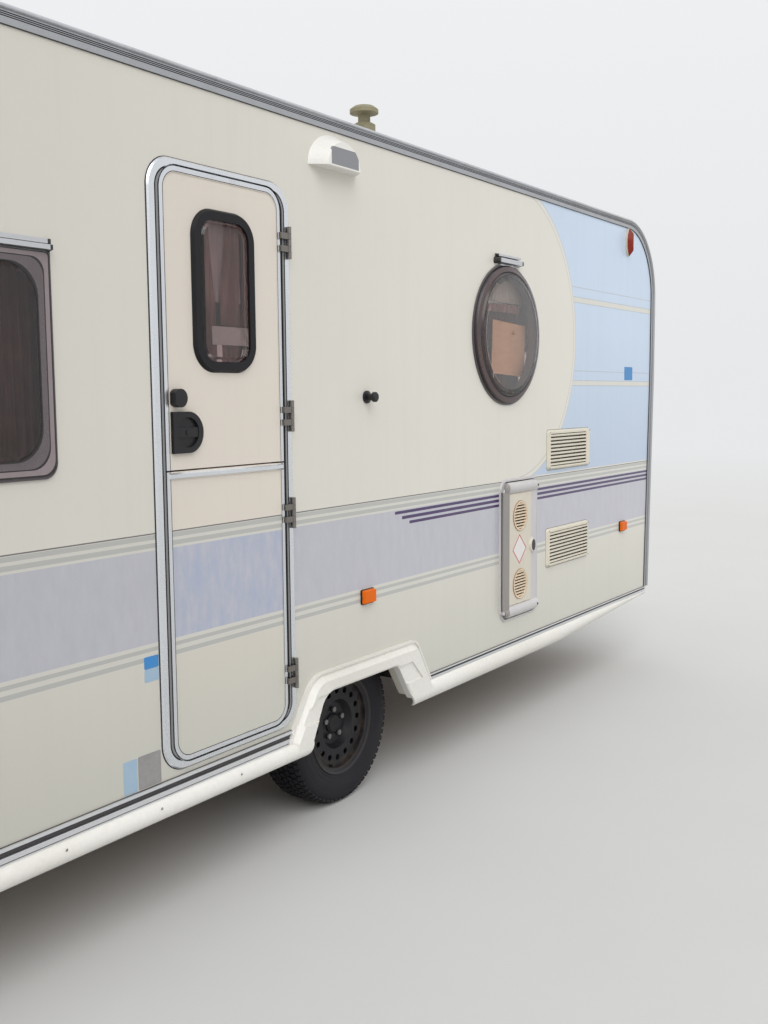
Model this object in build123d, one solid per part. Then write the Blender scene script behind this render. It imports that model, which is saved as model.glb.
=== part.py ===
from build123d import *
from math import cos, radians, sin
import os

# A single-axle touring caravan, parked on its two wheels and its jockey wheel.
# Millimetres. +X is forward, +Y is left, +Z is up, and the ground is Z 0.

# Cabin
front_reach = 3010  # axle to the foot of the front wall
rear_reach = 2690  # axle to the rear wall
drawbar_reach = 1250  # front wall to the tip of the coupling
body_width = 2300
wall_low = 387  # lower edge of the walls
lining_drop = 20  # the inner lining is worked out from this far below it
roof_top = 2575
wall_thickness = 32
roof_thickness = 34
nose_bulge = 25  # how far the front wall leans forward at the height of the nose
nose_height = 1700
nose_bend = 3000  # radius of the front wall's bend there
front_radius = 410  # top corner at the front
rear_radius = 300
low_radius = 40
floor_top = 460
floor_thickness = 45
roof_seam = (2560, 2350)  # where the roof sheet meets the front and rear walls, from the axle
running_clearance = 5  # between a moving piece and its neighbours
bearing_clearance = 0.3
seal_gap = 0.3  # between a sheet and what it is screwed down on

axle_x = -(front_reach + drawbar_reach - rear_reach) / 2
front_x = axle_x + front_reach
rear_x = axle_x - rear_reach
coupling_tip = front_x + drawbar_reach
half_width = body_width / 2
outer_y = -half_width
inner_half = half_width - wall_thickness
floor_low = floor_top - floor_thickness
nose_x = front_x + nose_bulge
foot_x = front_x - nose_bulge

# Edge rail round each side: one extruded section with a round bead and an awning channel
rail_face = 46  # width on the side wall
rail_wrap = 34  # how far it laps over the roof and the end walls
rail_skin = 4
rail_plate = 6  # how far its face stands proud
rail_bead = 10
rail_bead_proud = 13
rail_flutes = (15, 20, 25)  # grooves, in from the cabin's outline
flute_depth = 3
flute_half = 1.5

# Door, measured from the axle and from the ground
door_front = -445  # outer edge of the frame, on the hinge side
door_width = 653
door_low = 450
door_height = 1856
door_radius = 95
door_face = 50  # width of the frame's face
door_frame_proud = 9
door_frame_slope = 40  # degrees, the frame's outer edge
door_frame_wall = 6
door_groove, door_groove_width = 30, 3  # in from the frame's outer edge, and as deep as wide
door_thickness = 30
door_proud = 4
leaf_trim = 18  # width of the metal edge on the leaves
leaf_trim_proud = 2.5
door_split = 1379  # height of the split between the leaves
split_bar_height = 26
split_bar_proud = 9
door_stop = 14
door_window_centre = -776
door_window_width = 288
door_window_low = 1676
door_window_height = 501
door_window_radius = 90
door_window_rim = 34
door_rubber_proud = 13
hinge_height = 106
hinge_knuckles = 5
hinge_radius = 7
hinge_pin_radius = 4
hinge_stand_off = 17  # the pin's axis outside the wall
hinge_from_edge = 13  # the pin's axis from the frame's outer edge
strap_width = 8
strap_thickness = 5
door_hinges = (  # middle heights, two on each leaf
    door_low + door_height - 193,
    door_split + 155,
    door_split - 177,
    door_low + 188,
)
handle_from_edge = 24  # flat edge of the handle's plate from the leaf's edge
handle_width, handle_height = 129, 126
handle_proud = 12
handle_above_split = 115
handle_recess_radius = 46
handle_recess = 9
paddle_height = 30
key_radius = 9
knob_radius, knob_proud = 28, 24
knob_above_split = 219

# Windows, one row each: centre from the axle (across, for the ends), width, sill height, height
frame_proud = 7
frame_lap = 26
frame_wall = 8
window_radius = 45  # of the lower corners, the upper ones are square
dome_radius = 95
pane_edge = 8  # the pane's edge inside the frame's
pane_sheet = 5
pane_dome = 11
pane_margin = 44  # flat margin round the dome
pane_slope = 50
window_rails = ((-16, 22, 26), (2, 18, 16))  # foot over the window's top edge, height, proud
window_rail_slope = 10
right_windows = ((-1901, 900, 1386, 612),)
left_windows = ((-1901, 900, 1386, 612), (-330, 720, 1486, 512), (1800, 1120, 1386, 612))
front_windows = ((0, 1500, 1290, 640),)
rear_windows = ((0, 1250, 1386, 600),)

# Porthole
porthole_centre = 1140
porthole_height = 1873
porthole_radius = 320
porthole_rim = 34
porthole_outer = ((312, 4), (305, 13), (285, 17), (281, 14), (273, 23), (250, 28), (0, 31))
porthole_inner = ((0, 26), (249, 23), (280, 9), (301, 0), (312, 0))  # radius, proud of its frame
clip_bars = ((314, 30, 246, 30), (344, 16, 220, 18))  # foot from the centre, height, width, proud

# Gas locker, its lid hinged on the rear edge
locker_rear = 1077
locker_width = 388
locker_low = 534
locker_height = 675
locker_radius = 60
locker_rim = 12
locker_frame_proud = 8
locker_depth = 420
locker_wall = 8
locker_lid_thickness = 30
locker_lid_proud = 10
locker_cap_radius = 30  # the rolls at the lid's two ends
locker_cap_proud = 17
locker_hinge_width = 36  # of the hinge's leaf on the lid
locker_flange = 65  # flat strip at the lid's front edge, beside the raised panel
locker_panel_proud = 6
locker_vents = (1028, 701)  # heights
locker_vent_radius = 72
locker_vent_rim = 9
locker_vent_proud = 4
locker_vent_slats = 9
lock_height = 874
lock_bump_radius = 40
lock_bump_proud = 14
locker_hinge_radius = 7
locker_pin_radius = 3
locker_hinge_stand_off = 20
locker_ear = 16
pin_gap = 0.5

# Fridge vents, one row each: rear edge from the axle, width, low edge, height, catch strip's width
fridge_vents = ((1579, 508, 1225, 198, 36), (1575, 505, 734, 194, 0))
vent_proud = 14
vent_slope = 30
vent_rim = 18
vent_slats = 9
vent_recess = 20
vent_blade_depth = 8
vent_blade_rise = 4

# Fittings on the walls and the roof, from the axle
awning_lamp = -187
awning_lamp_low = 2396
awning_lamp_width, awning_lamp_height, awning_lamp_depth = 284, 118, 56
awning_lens_width, awning_lens_height = 190, 88
catch_x, catch_height = 10, 1596
catch_profile = ((24, 0), (24, 7), (13, 11), (13, 30), (19, 34), (19, 44), (14, 48))
side_markers = ((0, 837), (2581, 842))
marker_width, marker_height, marker_base, marker_depth = 84, 58, 7, 20
marker_slope = 20
corner_lamp_z, corner_lamp_height, corner_lamp_width = 2449, 156, 58
corner_lamp_base, corner_lamp_depth, corner_lamp_slope = 12, 38, 34
front_lamp_inset, rear_lamp_inset = 405, 320  # from the front and rear ends
cowl_forward, cowl_inset = 230, 150
cowl_profile = ((50, 0), (50, 8), (30, 12), (30, 40), (44, 48), (44, 78), (34, 84), (24, 88),
                (24, 116), (56, 122), (56, 136), (40, 148))
roof_lights = ((-560, 700, 500), (1500, 400, 400))  # centre from the axle, length, width
light_base, light_dome, light_step, light_slope = 26, 40, 24, 25
bumper_low, bumper_height, bumper_depth = 420, 190, 70
bumper_inset = 40  # from the corners of the cabin
bumper_bevel = 26
rear_lamp_width, rear_lamp_margin, rear_lamp_recess, rear_lamp_proud = 340, 38, 30, 8
rear_lamp_from_side = 110
plate_width, plate_height = 540, 118
handle_inset, handle_low, handle_reach, handle_grip = 150, 980, 60, 240
handle_bar, handle_bend = 11, 34

# Wheels
wheel_height = 310
tyre_radius = 310
tyre_width = 185
tyre_shoulder = 26
rim_seat_radius = 178
rim_flange_radius = 194
rim_width = 150
rim_sheet = 6
rim_drop = 22
wheel_inset = 205  # centre of the wheel inside the wall
disc_offset = 30  # mounting face outboard of the wheel's centre
disc_dish = 26  # depth from the mounting face out to the ring of holes
disc_boss_radius = 82
disc_ring_radius = 98
disc_holes = 16
disc_hole_radius = 12
disc_hole_circle = 135
hub_bore_radius = 40
hub_cap_length = 14
drum_radius = 118
drum_width = 58
drum_wall = 8
stud_circle = 56
bolt_count = 5
bolt_radius = 11
bolt_length = 14
stub_radius = 18
backplate_radius = 124
backplate_thickness = 5
arm_thickness = 34
arm_end_radius = 34
arm_trail = 150  # the axle tube lies this far ahead of the wheels
axle_flats = 90

# Wheel arches, from the axle and from the ground: one row for each corner, with its rounding
arch_corners = ((-500, 395, 40), (-361, 606, 115), (335, 606, 60))
arch_foot = 582  # place of the front edge at the depth of the cut
arch_inner_corners = ((-300, 530, 80), (175, 530, 40))
arch_inner_feet = (-466, 394)
arch_cut = 200  # the outlines run down to this height, below the feet
arch_middle = -30
arch_lip = 8
arch_lip_proud = 16
arch_step = 10
arch_proud = 34
arch_slope = 35
arch_edge_round = 12  # of the crown's inner edge
arch_recess = 7  # depth of the hollows on the legs
arch_hollows = (
    ((-340, 440), (-470, 440), (-357, 528), (-280, 528)),
    ((225, 446), (353, 446), (275, 528), (150, 528)),
)
arch_shift = 6  # centre of the wheel box ahead of the axle
wheel_box_half = 372
wheel_box_radius = 160
wheel_box_room = 85  # between the tyre and the inner wall of the wheel box
wheel_box_top = 690
wheel_box_wall = 5

# Skirts and strips along the sills, behind the arch and ahead of it
strip_top = 435
strip_proud = 5
strip_ridges = ((0, 0.08, 9), (0.17, 0.48, 13), (0.79, 1, 12))  # shares of the height, proud
skirt_rear = (wall_low, 325)  # top and foot
skirt_front = (411, 335)
skirt_tip = (411, 393)
skirt_proud, skirt_tip_proud = 34, 10
skirt_taper_start = 1720  # from the axle, ahead of it the skirt's foot rises

# Chassis
rail_y = 600
rail_depth = 100
rail_web = 6
rail_flange = 46
rail_join = 1700  # where the drawbar's arms meet the rails, from the axle
rail_rear = 2450
rail_holes = (-2000, -1600, -600, 600, 1300)
rail_hole_radius = 26
coupling_back = 430  # rear end of the coupling, from its tip
arm_tip_y = 62
cross_members = (-2300, -1200, 1080, 1640)
cross_depth = 60
cross_width = 40

# Coupling
ball_radius = 25
ball_back = 46  # the ball's centre from the tip
head_rise = 6
head_height = 60
head_rear = 200
socket_rise = 22
shaft_rise = 34  # axis of the overrun shaft above the drawbar
shaft_behind = 38  # how far its tube runs back over the drawbar
bellows = (350, 206)  # its two ends, from the tip
bellows_ribs = 6
bellows_radius, bellows_waist = 41, 29
lever_length, lever_half, lever_height = 220, 11, 20
brake_back = 60
brake_side = 34
brake_thickness = 16

# Jockey wheel
jockey_back = 560  # from the coupling's tip
jockey_radius = 100
jockey_width = 60
jockey_axle = 9
jockey_outer_radius = 24
jockey_inner_radius = 19
jockey_outer_low = 318
jockey_outer_top = 760
jockey_trail = 32
jockey_side_gap = 26
jockey_clamp = (344, 398)
fork_sheet = 5
fork_ahead, fork_behind = 34, 60
crank_rise, crank_reach, crank_grip = 46, 112, 84

# Corner steadies
steady_front = 1960  # pivots, from the axle
steady_rear = 1930
steady_y = 800
steady_length = 470
steady_width = 64
steady_pivot_drop = 42
steady_sheet = 5
steady_pin = 6
steady_gap = 5
foot_drop = 34

# Inside
seat_top = 860
seat_cushion = 120
cushion_inset = 6
fridge = (1560, 2110, 560, 1500)  # rear edge and front edge from the axle, depth, height
kitchen = (480, 1180, 560, 1350)
bed_length = 1415
bench_depth, bench_gap = 540, 590
side_bench = (1250, 1750, 1180)


def side_sheet(outline, y_low, y_high, slope=0):
    """A sheet of an X-Z outline across the width, narrowing towards the low Y by a slope in degrees."""
    plane = Plane(origin=(0, y_high, 0), x_dir=(1, 0, 0), z_dir=(0, -1, 0))
    return extrude(plane * outline, y_high - y_low, taper=slope)


def end_sheet(outline, x_low, x_high):
    """A sheet of a Y-Z outline between two places along the length."""
    plane = Plane(origin=(x_low, 0, 0), x_dir=(0, 1, 0), z_dir=(1, 0, 0))
    return extrude(plane * outline, x_high - x_low)


def rear_sheet(outline, x_low, x_high, slope=0):
    """A sheet of a Y-Z outline that narrows towards the rear."""
    plane = Plane(origin=(x_high, 0, 0), x_dir=(0, -1, 0), z_dir=(-1, 0, 0))
    return extrude(plane * mirror(outline, Plane.YZ), x_high - x_low, taper=slope)


def flat_sheet(outline, z_low, z_high, slope=0):
    """A sheet of an X-Y outline between two heights, narrowing upwards."""
    return extrude(Plane.XY.offset(z_low) * outline, z_high - z_low, taper=slope)


def block(x_low, x_high, y_low, y_high, z_low, z_high):
    size = (x_high - x_low, y_high - y_low, z_high - z_low)
    middle = ((x_low + x_high) / 2, (y_low + y_high) / 2, (z_low + z_high) / 2)
    return Pos(*middle) * Box(*size)


def polygon(*points):
    return make_face(Polyline(*points, close=True))


def rounded(x, z, width, height, radius):
    """A rounded rectangle about its centre."""
    radius = min(radius, 0.49 * width, 0.49 * height)
    return Pos(x, z) * RectangleRounded(width, height, radius)


def across(x, z, radius, y_low, y_high):
    """A round bar along Y."""
    return side_sheet(Pos(x, z) * Circle(radius), y_low, y_high)


def upright(x, y, radius, z_low, z_high):
    """A round bar along Z."""
    return flat_sheet(Pos(x, y) * Circle(radius), z_low, z_high)


def on_side(shape, side):
    """The shape as built on the right, or its mirror image on the left."""
    return shape if side < 0 else mirror(shape, Plane.XZ)


def turned_out(x, z, profile, y_base):
    """A knob turned about a line across the width: radius and reach out from a wall."""
    face = polygon((x, y_base, z), *[(x + r, y_base - out, z) for r, out in profile],
                   (x, y_base - profile[-1][1], z))
    return revolve(face, Axis((x, y_base, z), (0, 1, 0)), 360)


def turned_up(x, y, profile, z_base):
    """A piece turned about an upright line: radius and height above its base."""
    face = polygon((x, y, z_base), *[(x + r, y, z_base + up) for r, up in profile],
                   (x, y, z_base + profile[-1][1]))
    return revolve(face, Axis((x, y, z_base), (0, 0, 1)), 360)


def round_corner(face, point, radius):
    return fillet(face.vertices().sort_by_distance((*point, 0))[0], radius)


def front_at(z):
    """Place of the front wall's lower part at a height."""
    return foot_x + (nose_x - foot_x) * (z - wall_low) / (nose_height - wall_low)


def cabin_outline(low):
    corners = (
        (rear_x, low, low_radius),
        (rear_x, roof_top, rear_radius),
        (nose_x, roof_top, front_radius),
        (nose_x, nose_height, nose_bend),
        (front_at(low), low, low_radius),
    )
    face = polygon(*[corner[:2] for corner in corners])
    for x, z, radius in corners:
        face = round_corner(face, (x, z), radius)
    return face


outline = cabin_outline(wall_low)
lining = offset(cabin_outline(wall_low - lining_drop), -roof_thickness)
shell = side_sheet(outline - lining, -inner_half, inner_half)
cabin_block = side_sheet(outline, -half_width, half_width)
nodes = {}

# Places worked out from the sizes above
wheel_centre_y = half_width - wheel_inset
wheel_box_inner = wheel_centre_y - tyre_width / 2 - wheel_box_room
door_front_x = axle_x + door_front
door_centre_x = door_front_x - door_width / 2
door_centre_z = door_low + door_height / 2
leaf_width = door_width - 2 * door_face
leaf_height = door_height - door_face
leaf_rear_x = door_centre_x - leaf_width / 2
leaf_front_x = door_centre_x + leaf_width / 2
leaf_face_y = outer_y - door_proud
leaf_inner_y = leaf_face_y + door_thickness
door_hinge_x = door_front_x - hinge_from_edge
door_hinge_y = outer_y - hinge_stand_off
locker_centre_x = axle_x + locker_rear + locker_width / 2
locker_centre_z = locker_low + locker_height / 2
locker_hinge_x = axle_x + locker_rear + locker_hinge_radius
locker_hinge_y = outer_y - locker_hinge_stand_off
porthole_x = axle_x + porthole_centre
wheel_box_x = axle_x + arch_shift
porthole = Pos(porthole_x, porthole_height) * Circle(porthole_radius - porthole_rim)
door_frame_outline = rounded(door_centre_x, door_centre_z, door_width, door_height, door_radius)
leaf_outline = rounded(
    door_centre_x, door_centre_z, leaf_width, leaf_height, door_radius - door_face / 2
)
door_gap = offset(leaf_outline, running_clearance)
door_hole = offset(leaf_outline, running_clearance + door_frame_wall)
locker_outline = rounded(
    locker_centre_x, locker_centre_z, locker_width, locker_height, locker_radius
)
locker_hole = offset(locker_outline, -locker_rim)


def arch_shape(rear_foot, corners, front_foot):
    """An arch's outline from its rear foot over its rounded corners to its front foot."""
    feet = (rear_foot, *[corner[:2] for corner in corners], front_foot)
    face = polygon(*[(axle_x + x, z) for x, z in feet])
    for x, z, radius in corners:
        face = round_corner(face, (axle_x + x, z), radius)
    return face


arch_outer = arch_shape((arch_corners[0][0], arch_cut), arch_corners, (arch_foot, arch_cut))
arch_inner = arch_shape(
    (arch_inner_feet[0], arch_cut), arch_inner_corners, (arch_inner_feet[1], arch_cut)
)
arch_band = arch_outer - arch_inner


def window_places(table):
    """Centre, width and height of each window of a side, in row coordinates."""
    return [(axle_x + x, sill + h / 2, w, h) for x, w, sill, h in table]


def window_hole(x, z, w, h):
    return rounded(x, z, w - 2 * frame_lap, h - 2 * frame_lap, window_radius - frame_lap / 2)


# Cabin walls, floor and roof
def side_wall(side, table):
    wall = side_sheet(outline, outer_y, -inner_half)
    for place in window_places(table):
        wall -= side_sheet(window_hole(*place), outer_y, -inner_half)
    wall -= side_sheet(arch_inner, outer_y, -inner_half)
    if side < 0:
        wall -= side_sheet(door_hole + porthole + locker_hole, outer_y, -inner_half)
        for x, w, low, h, _ in fridge_vents:
            recess = rounded(axle_x + x + w / 2, low + h / 2, w - 2 * vent_rim, h - 2 * vent_rim, 8)
            wall -= side_sheet(recess, outer_y, outer_y + vent_recess)
    return on_side(wall, side)


def end_window_hole(y, w, sill, h):
    return window_hole(y, sill + h / 2, w, h)


nodes["wall_right"] = side_wall(-1, right_windows)
nodes["wall_left"] = side_wall(1, left_windows)
roof_front_x, roof_rear_x = axle_x + roof_seam[0], axle_x - roof_seam[1]
middle_z = (roof_top + floor_top) / 2
nodes["roof"] = shell & block(
    roof_rear_x, roof_front_x, -half_width, half_width, middle_z, roof_top
)
front_wall = shell & block(roof_front_x, nose_x, -half_width, half_width, floor_low, roof_top)
rear_wall = shell & block(rear_x, roof_rear_x, -half_width, half_width, floor_low, roof_top)
for place in front_windows:
    front_wall -= end_sheet(end_window_hole(*place), roof_front_x, nose_x)
for place in rear_windows:
    rear_wall -= end_sheet(end_window_hole(*place), rear_x, roof_rear_x)
floor = side_sheet(lining, -inner_half, inner_half)
floor &= block(rear_x, nose_x, -half_width, half_width, floor_low, floor_top)
wheel_pocket = rounded(
    wheel_box_x, wheel_box_top / 2, 2 * wheel_box_half, wheel_box_top, wheel_box_radius
)


def wheel_box(side):
    hollow = offset(wheel_pocket, -wheel_box_wall)
    box = side_sheet(wheel_pocket, -inner_half, -wheel_box_inner)
    box -= side_sheet(hollow, -inner_half, -wheel_box_inner - wheel_box_wall)
    box &= block(rear_x, front_x, -inner_half, -wheel_box_inner, floor_low, wheel_box_top)
    return on_side(box, side)


for side in (-1, 1):
    floor -= on_side(side_sheet(wheel_pocket, -inner_half, -wheel_box_inner), side)
nodes["floor"] = floor
nodes["wall_front"] = front_wall
nodes["wall_rear"] = rear_wall
nodes["wheel_boxes"] = Compound(children=[wheel_box(side) for side in (-1, 1)])


# Edge rails: the section is drawn at the foot of the rear wall and swept round the cabin
def edge_rail(side):
    low = strip_top
    route = FilletPolyline(
        (rear_x, outer_y, low), (rear_x, outer_y, roof_top), (nose_x, outer_y, roof_top),
        (nose_x, outer_y, nose_height), (front_at(low), outer_y, low),
        radius=[rear_radius, front_radius, nose_bend],
    )
    section = [(-rail_skin, -rail_wrap), (0, -rail_wrap), (0, 0), (rail_face, 0),
               (rail_face, rail_plate - 2), (rail_face - 2, rail_plate)]
    for groove in reversed(rail_flutes):
        section += [(groove + flute_half, rail_plate), (groove, rail_plate - flute_depth),
                    (groove - flute_half, rail_plate)]
    section += [(rail_bead, rail_plate), (rail_bead - 3, rail_bead_proud - 2),
                (rail_bead - 6, rail_bead_proud), (0, rail_bead_proud),
                (-rail_skin, rail_bead_proud - rail_skin)]
    face = polygon(*[(rear_x + inward, outer_y - proud, low) for inward, proud in section])
    return on_side(sweep(face, path=route), side)


nodes["edge_rails"] = Compound(children=[edge_rail(side) for side in (-1, 1)])


# Arches, skirts and strips
def skirt_section(x, heights, proud):
    """The skirt's curved sheet across the length, from its top to its foot."""
    top, foot = heights
    middle, tuck = (top + foot) / 2, top - 0.13 * (top - foot)
    ends = [(0.4 * proud, top), (0.4 * proud, foot), (0.12 * proud, foot), (0, tuck), (0, top)]
    points = [(x, outer_y - out, z) for out, z in ends]
    outer = ThreePointArc(points[0], (x, outer_y - proud, middle), points[1])
    inner = ThreePointArc(points[2], (x, outer_y - 0.7 * proud, middle), points[3])
    edges = [outer, Line(points[1], points[2]), inner, Line(points[3], points[4]),
             Line(points[4], points[0])]
    return make_face(edges)


def skirt_sheet():
    """The skirt of one side, before the arch is cut from it."""
    middle, bend = axle_x + arch_middle, axle_x + skirt_taper_start
    rear = extrude(skirt_section(rear_x + low_radius, skirt_rear, skirt_proud),
                   middle - rear_x - low_radius, dir=(1, 0, 0))
    front = extrude(skirt_section(middle, skirt_front, skirt_proud), bend - middle, dir=(1, 0, 0))
    tip = loft([skirt_section(bend, skirt_front, skirt_proud),
                skirt_section(foot_x - low_radius, skirt_tip, skirt_tip_proud)], ruled=True)
    return [rear, front, tip]


def arch_moulding(side):
    """A lip, a rounded crown with hollows on its legs, and feet that carry on the skirt."""
    heights = [(top + foot) / 2 for top, foot in (skirt_rear, skirt_front)]
    left, middle, right = axle_x - 900, axle_x + arch_middle, axle_x + 900
    above = polygon((left, heights[0]), (middle, heights[0]), (middle, heights[1]),
                    (right, heights[1]), (right, 900), (left, 900))
    face_y = outer_y - arch_proud
    crown = side_sheet(offset(arch_outer, -2 * arch_lip), face_y, outer_y - arch_step, arch_slope)
    crown &= side_sheet(above - arch_inner, face_y, outer_y - arch_step)
    rim = []
    for edge in crown.edges().filter_by_position(Axis.Y, face_y - 0.1, face_y + 0.1):
        point = edge.position_at(0.5)
        if min(line.distance_to(Vector(point.X, point.Z, 0)) for line in arch_inner.edges()) < 1:
            rim.append(edge)
    crown = fillet(rim, arch_edge_round)
    for hollow in arch_hollows:
        shape = polygon(*[(axle_x + x, z) for x, z in hollow])
        crown -= side_sheet(shape, face_y, face_y + arch_recess)
    moulding = side_sheet(arch_band & above, outer_y - arch_step, outer_y) + crown
    lip = (arch_outer - offset(arch_outer, -arch_lip)) & above
    moulding += side_sheet(lip, outer_y - arch_lip_proud, outer_y - arch_step)
    for sheet in skirt_sheet()[:2]:
        moulding += sheet & side_sheet(arch_band, outer_y - 2 * skirt_proud, outer_y)
    return on_side(moulding, side)


nodes["arch_mouldings"] = Compound(children=[arch_moulding(side) for side in (-1, 1)])


def sill_parts(side):
    """The strips and skirts of one side, cut where the arch moulding is."""
    middle = axle_x + arch_middle
    reach = side_sheet(arch_outer, outer_y - 2 * skirt_proud, outer_y)
    strips = []
    for x_low, x_high, foot in ((rear_x + low_radius, middle, skirt_rear[0]),
                                (middle, foot_x - low_radius, skirt_front[0])):
        height, strip = strip_top - foot, None
        for low, high, proud in ((0, 1, strip_proud), *strip_ridges):
            band = Pos((x_low + x_high) / 2, foot + (low + high) / 2 * height) * Rectangle(
                x_high - x_low, (high - low) * height
            )
            sheet = side_sheet(band - arch_outer, outer_y - proud, outer_y)
            strip = sheet if strip is None else strip + sheet
        strips.append(on_side(strip, side))
    rear, front, tip = skirt_sheet()
    skirts = [rear - reach, (front - reach) + tip]
    return strips, [on_side(skirt, side) for skirt in skirts]


sills = [sill_parts(side) for side in (-1, 1)]
nodes["sill_strips"] = Compound(
    children=[s for strips, _ in sills for strip in strips for s in strip.solids()]
)
nodes["skirts"] = Compound(
    children=[s for _, skirts in sills for skirt in skirts for s in skirt.solids()]
)

# Door: a fixed frame, and two leaves that turn on one line of hinges
tube = door_hole - door_gap
stop_y = leaf_inner_y + running_clearance
door_frame = side_sheet(tube, outer_y, -inner_half)
door_frame += side_sheet(
    door_frame_outline, outer_y - door_frame_proud, outer_y, door_frame_slope
) - side_sheet(door_gap, outer_y - door_frame_proud, outer_y)
groove = offset(door_frame_outline, -door_groove) - offset(
    door_frame_outline, -door_groove - door_groove_width
)
door_frame -= side_sheet(groove, outer_y - door_frame_proud,
                         outer_y - door_frame_proud + door_groove_width)
door_frame += side_sheet(
    door_hole - offset(leaf_outline, -door_stop), stop_y, stop_y + door_frame_wall
)


def hinge_parts(height):
    """A fixed pin with its knuckles and plate, and the leaf's knuckle on its strap."""
    knuckle_height = hinge_height / hinge_knuckles
    low, high = height - hinge_height / 2, height + hinge_height / 2
    fixed = upright(door_hinge_x, door_hinge_y, hinge_pin_radius, low, high)
    moving = None
    for i in range(hinge_knuckles):
        z0, z1 = low + i * knuckle_height, low + (i + 1) * knuckle_height
        if i % 2 == 0:
            fixed += upright(door_hinge_x, door_hinge_y, hinge_radius, z0, z1)
            fixed += block(door_hinge_x, door_hinge_x + hinge_radius, door_hinge_y,
                           outer_y - door_frame_proud, z0, z1)
            continue
        z0, z1 = z0 + pin_gap, z1 - pin_gap
        plate_y = leaf_face_y - leaf_trim_proud
        strap_y = door_hinge_y + strap_thickness / 2
        piece = upright(door_hinge_x, door_hinge_y, hinge_radius, z0, z1)
        piece += block(leaf_front_x - strap_width, door_hinge_x, door_hinge_y - strap_thickness / 2,
                       strap_y, z0, z1)
        piece += block(leaf_front_x - strap_width, leaf_front_x - 2, strap_y, plate_y, z0, z1)
        piece -= upright(door_hinge_x, door_hinge_y, hinge_pin_radius + bearing_clearance, z0, z1)
        moving = piece if moving is None else moving + piece
    return fixed, moving


trim_ring = leaf_outline - offset(leaf_outline, -leaf_trim)
leaf = side_sheet(leaf_outline, leaf_face_y, leaf_inner_y)
leaf += side_sheet(trim_ring, leaf_face_y - leaf_trim_proud, leaf_face_y)
door_window = rounded(
    axle_x + door_window_centre, door_window_low + door_window_height / 2,
    door_window_width, door_window_height, door_window_radius,
)
door_glass = offset(door_window, -door_window_rim)
half_gap = running_clearance / 2
upper = leaf & block(rear_x, front_x, -half_width - 99, 0, door_split + half_gap, roof_top)
upper -= side_sheet(door_glass, leaf_face_y, leaf_inner_y)
lower = leaf & block(rear_x, front_x, -half_width - 99, 0, 0, door_split - half_gap)
split_bar = Pos(door_centre_x, door_split - half_gap - split_bar_height / 2) * Rectangle(
    leaf_width - 4, split_bar_height
)
lower += side_sheet(split_bar, leaf_face_y - split_bar_proud, leaf_face_y, door_frame_slope)
for height in door_hinges:
    fixed, moving = hinge_parts(height)
    door_frame += fixed
    if height > door_split:
        upper += moving
    else:
        lower += moving
nodes["door_frame"] = door_frame
nodes["door_upper"] = upper
nodes["door_lower"] = lower
rubber = side_sheet(door_window, leaf_face_y - door_rubber_proud, leaf_face_y, vent_slope)
nodes["door_rubber"] = rubber - side_sheet(door_glass, leaf_face_y - door_rubber_proud, leaf_face_y)
door_pane = offset(door_glass, -bearing_clearance)
nodes["door_pane"] = side_sheet(door_pane, leaf_face_y - 4, leaf_inner_y - 6) + side_sheet(
    offset(door_pane, -8), leaf_face_y - 10, leaf_face_y - 4, pane_slope
)

# The handle's D-shaped plate with its paddle, and the knob over it
plate_x = leaf_rear_x + handle_from_edge
handle_z, knob_z = door_split + handle_above_split, door_split + knob_above_split
bow = handle_height / 2
plate = Pos(plate_x + (handle_width - bow) / 2, handle_z) * Rectangle(
    handle_width - bow, handle_height
) + Pos(plate_x + handle_width - bow, handle_z) * Circle(bow)
recess = Pos(plate_x + handle_width - bow - 3, handle_z) * Circle(handle_recess_radius)
paddle = recess & (Pos(plate_x + handle_width / 2, handle_z) * Rectangle(handle_width, paddle_height))
handle = side_sheet(plate, leaf_face_y - handle_proud, leaf_face_y)
handle -= side_sheet(recess, leaf_face_y - handle_proud, leaf_face_y - handle_proud + handle_recess)
handle += side_sheet(paddle, leaf_face_y - handle_proud + 2, leaf_face_y)
handle += across(plate_x + handle_width - bow - 3, handle_z, key_radius,
                 leaf_face_y - handle_proud, leaf_face_y)
knob = Pos(plate_x + knob_radius - 5, knob_z) * Circle(knob_radius)
knob &= Pos(plate_x + knob_radius, knob_z) * Rectangle(2 * knob_radius, 2 * knob_radius)
handle += side_sheet(knob, leaf_face_y - knob_proud, leaf_face_y)
nodes["door_handle"] = handle


# Windows: frames in their holes, domed panes that lap over them, hinge rails above
def framed(place):
    """Outlines of a window: the ring's, the opening's, the hole's, the pane's and the dome's."""
    x, z, w, h = place
    hole = window_hole(*place)
    ring = rounded(x, z, w, h, window_radius) + Pos(x, z + h / 4) * Rectangle(w, h / 2)
    sheet_w, sheet_h = w - 2 * pane_edge, h - 2 * pane_edge
    sheet = rounded(x, z, sheet_w, sheet_h, window_radius - pane_edge)
    sheet += Pos(x, z + sheet_h / 4) * Rectangle(sheet_w, sheet_h / 2)
    dome = rounded(x, z, sheet_w - 2 * pane_margin, sheet_h - 2 * pane_margin, dome_radius)
    return ring, offset(hole, -frame_wall), hole, sheet, dome


def window_rail_rows(x, z, w, h):
    """The two bars of the hinge rail: outline and reach."""
    top = z + h / 2
    return [(Pos(x, top + foot + high / 2) * Rectangle(w, high), proud)
            for foot, high, proud in window_rails]


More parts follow.
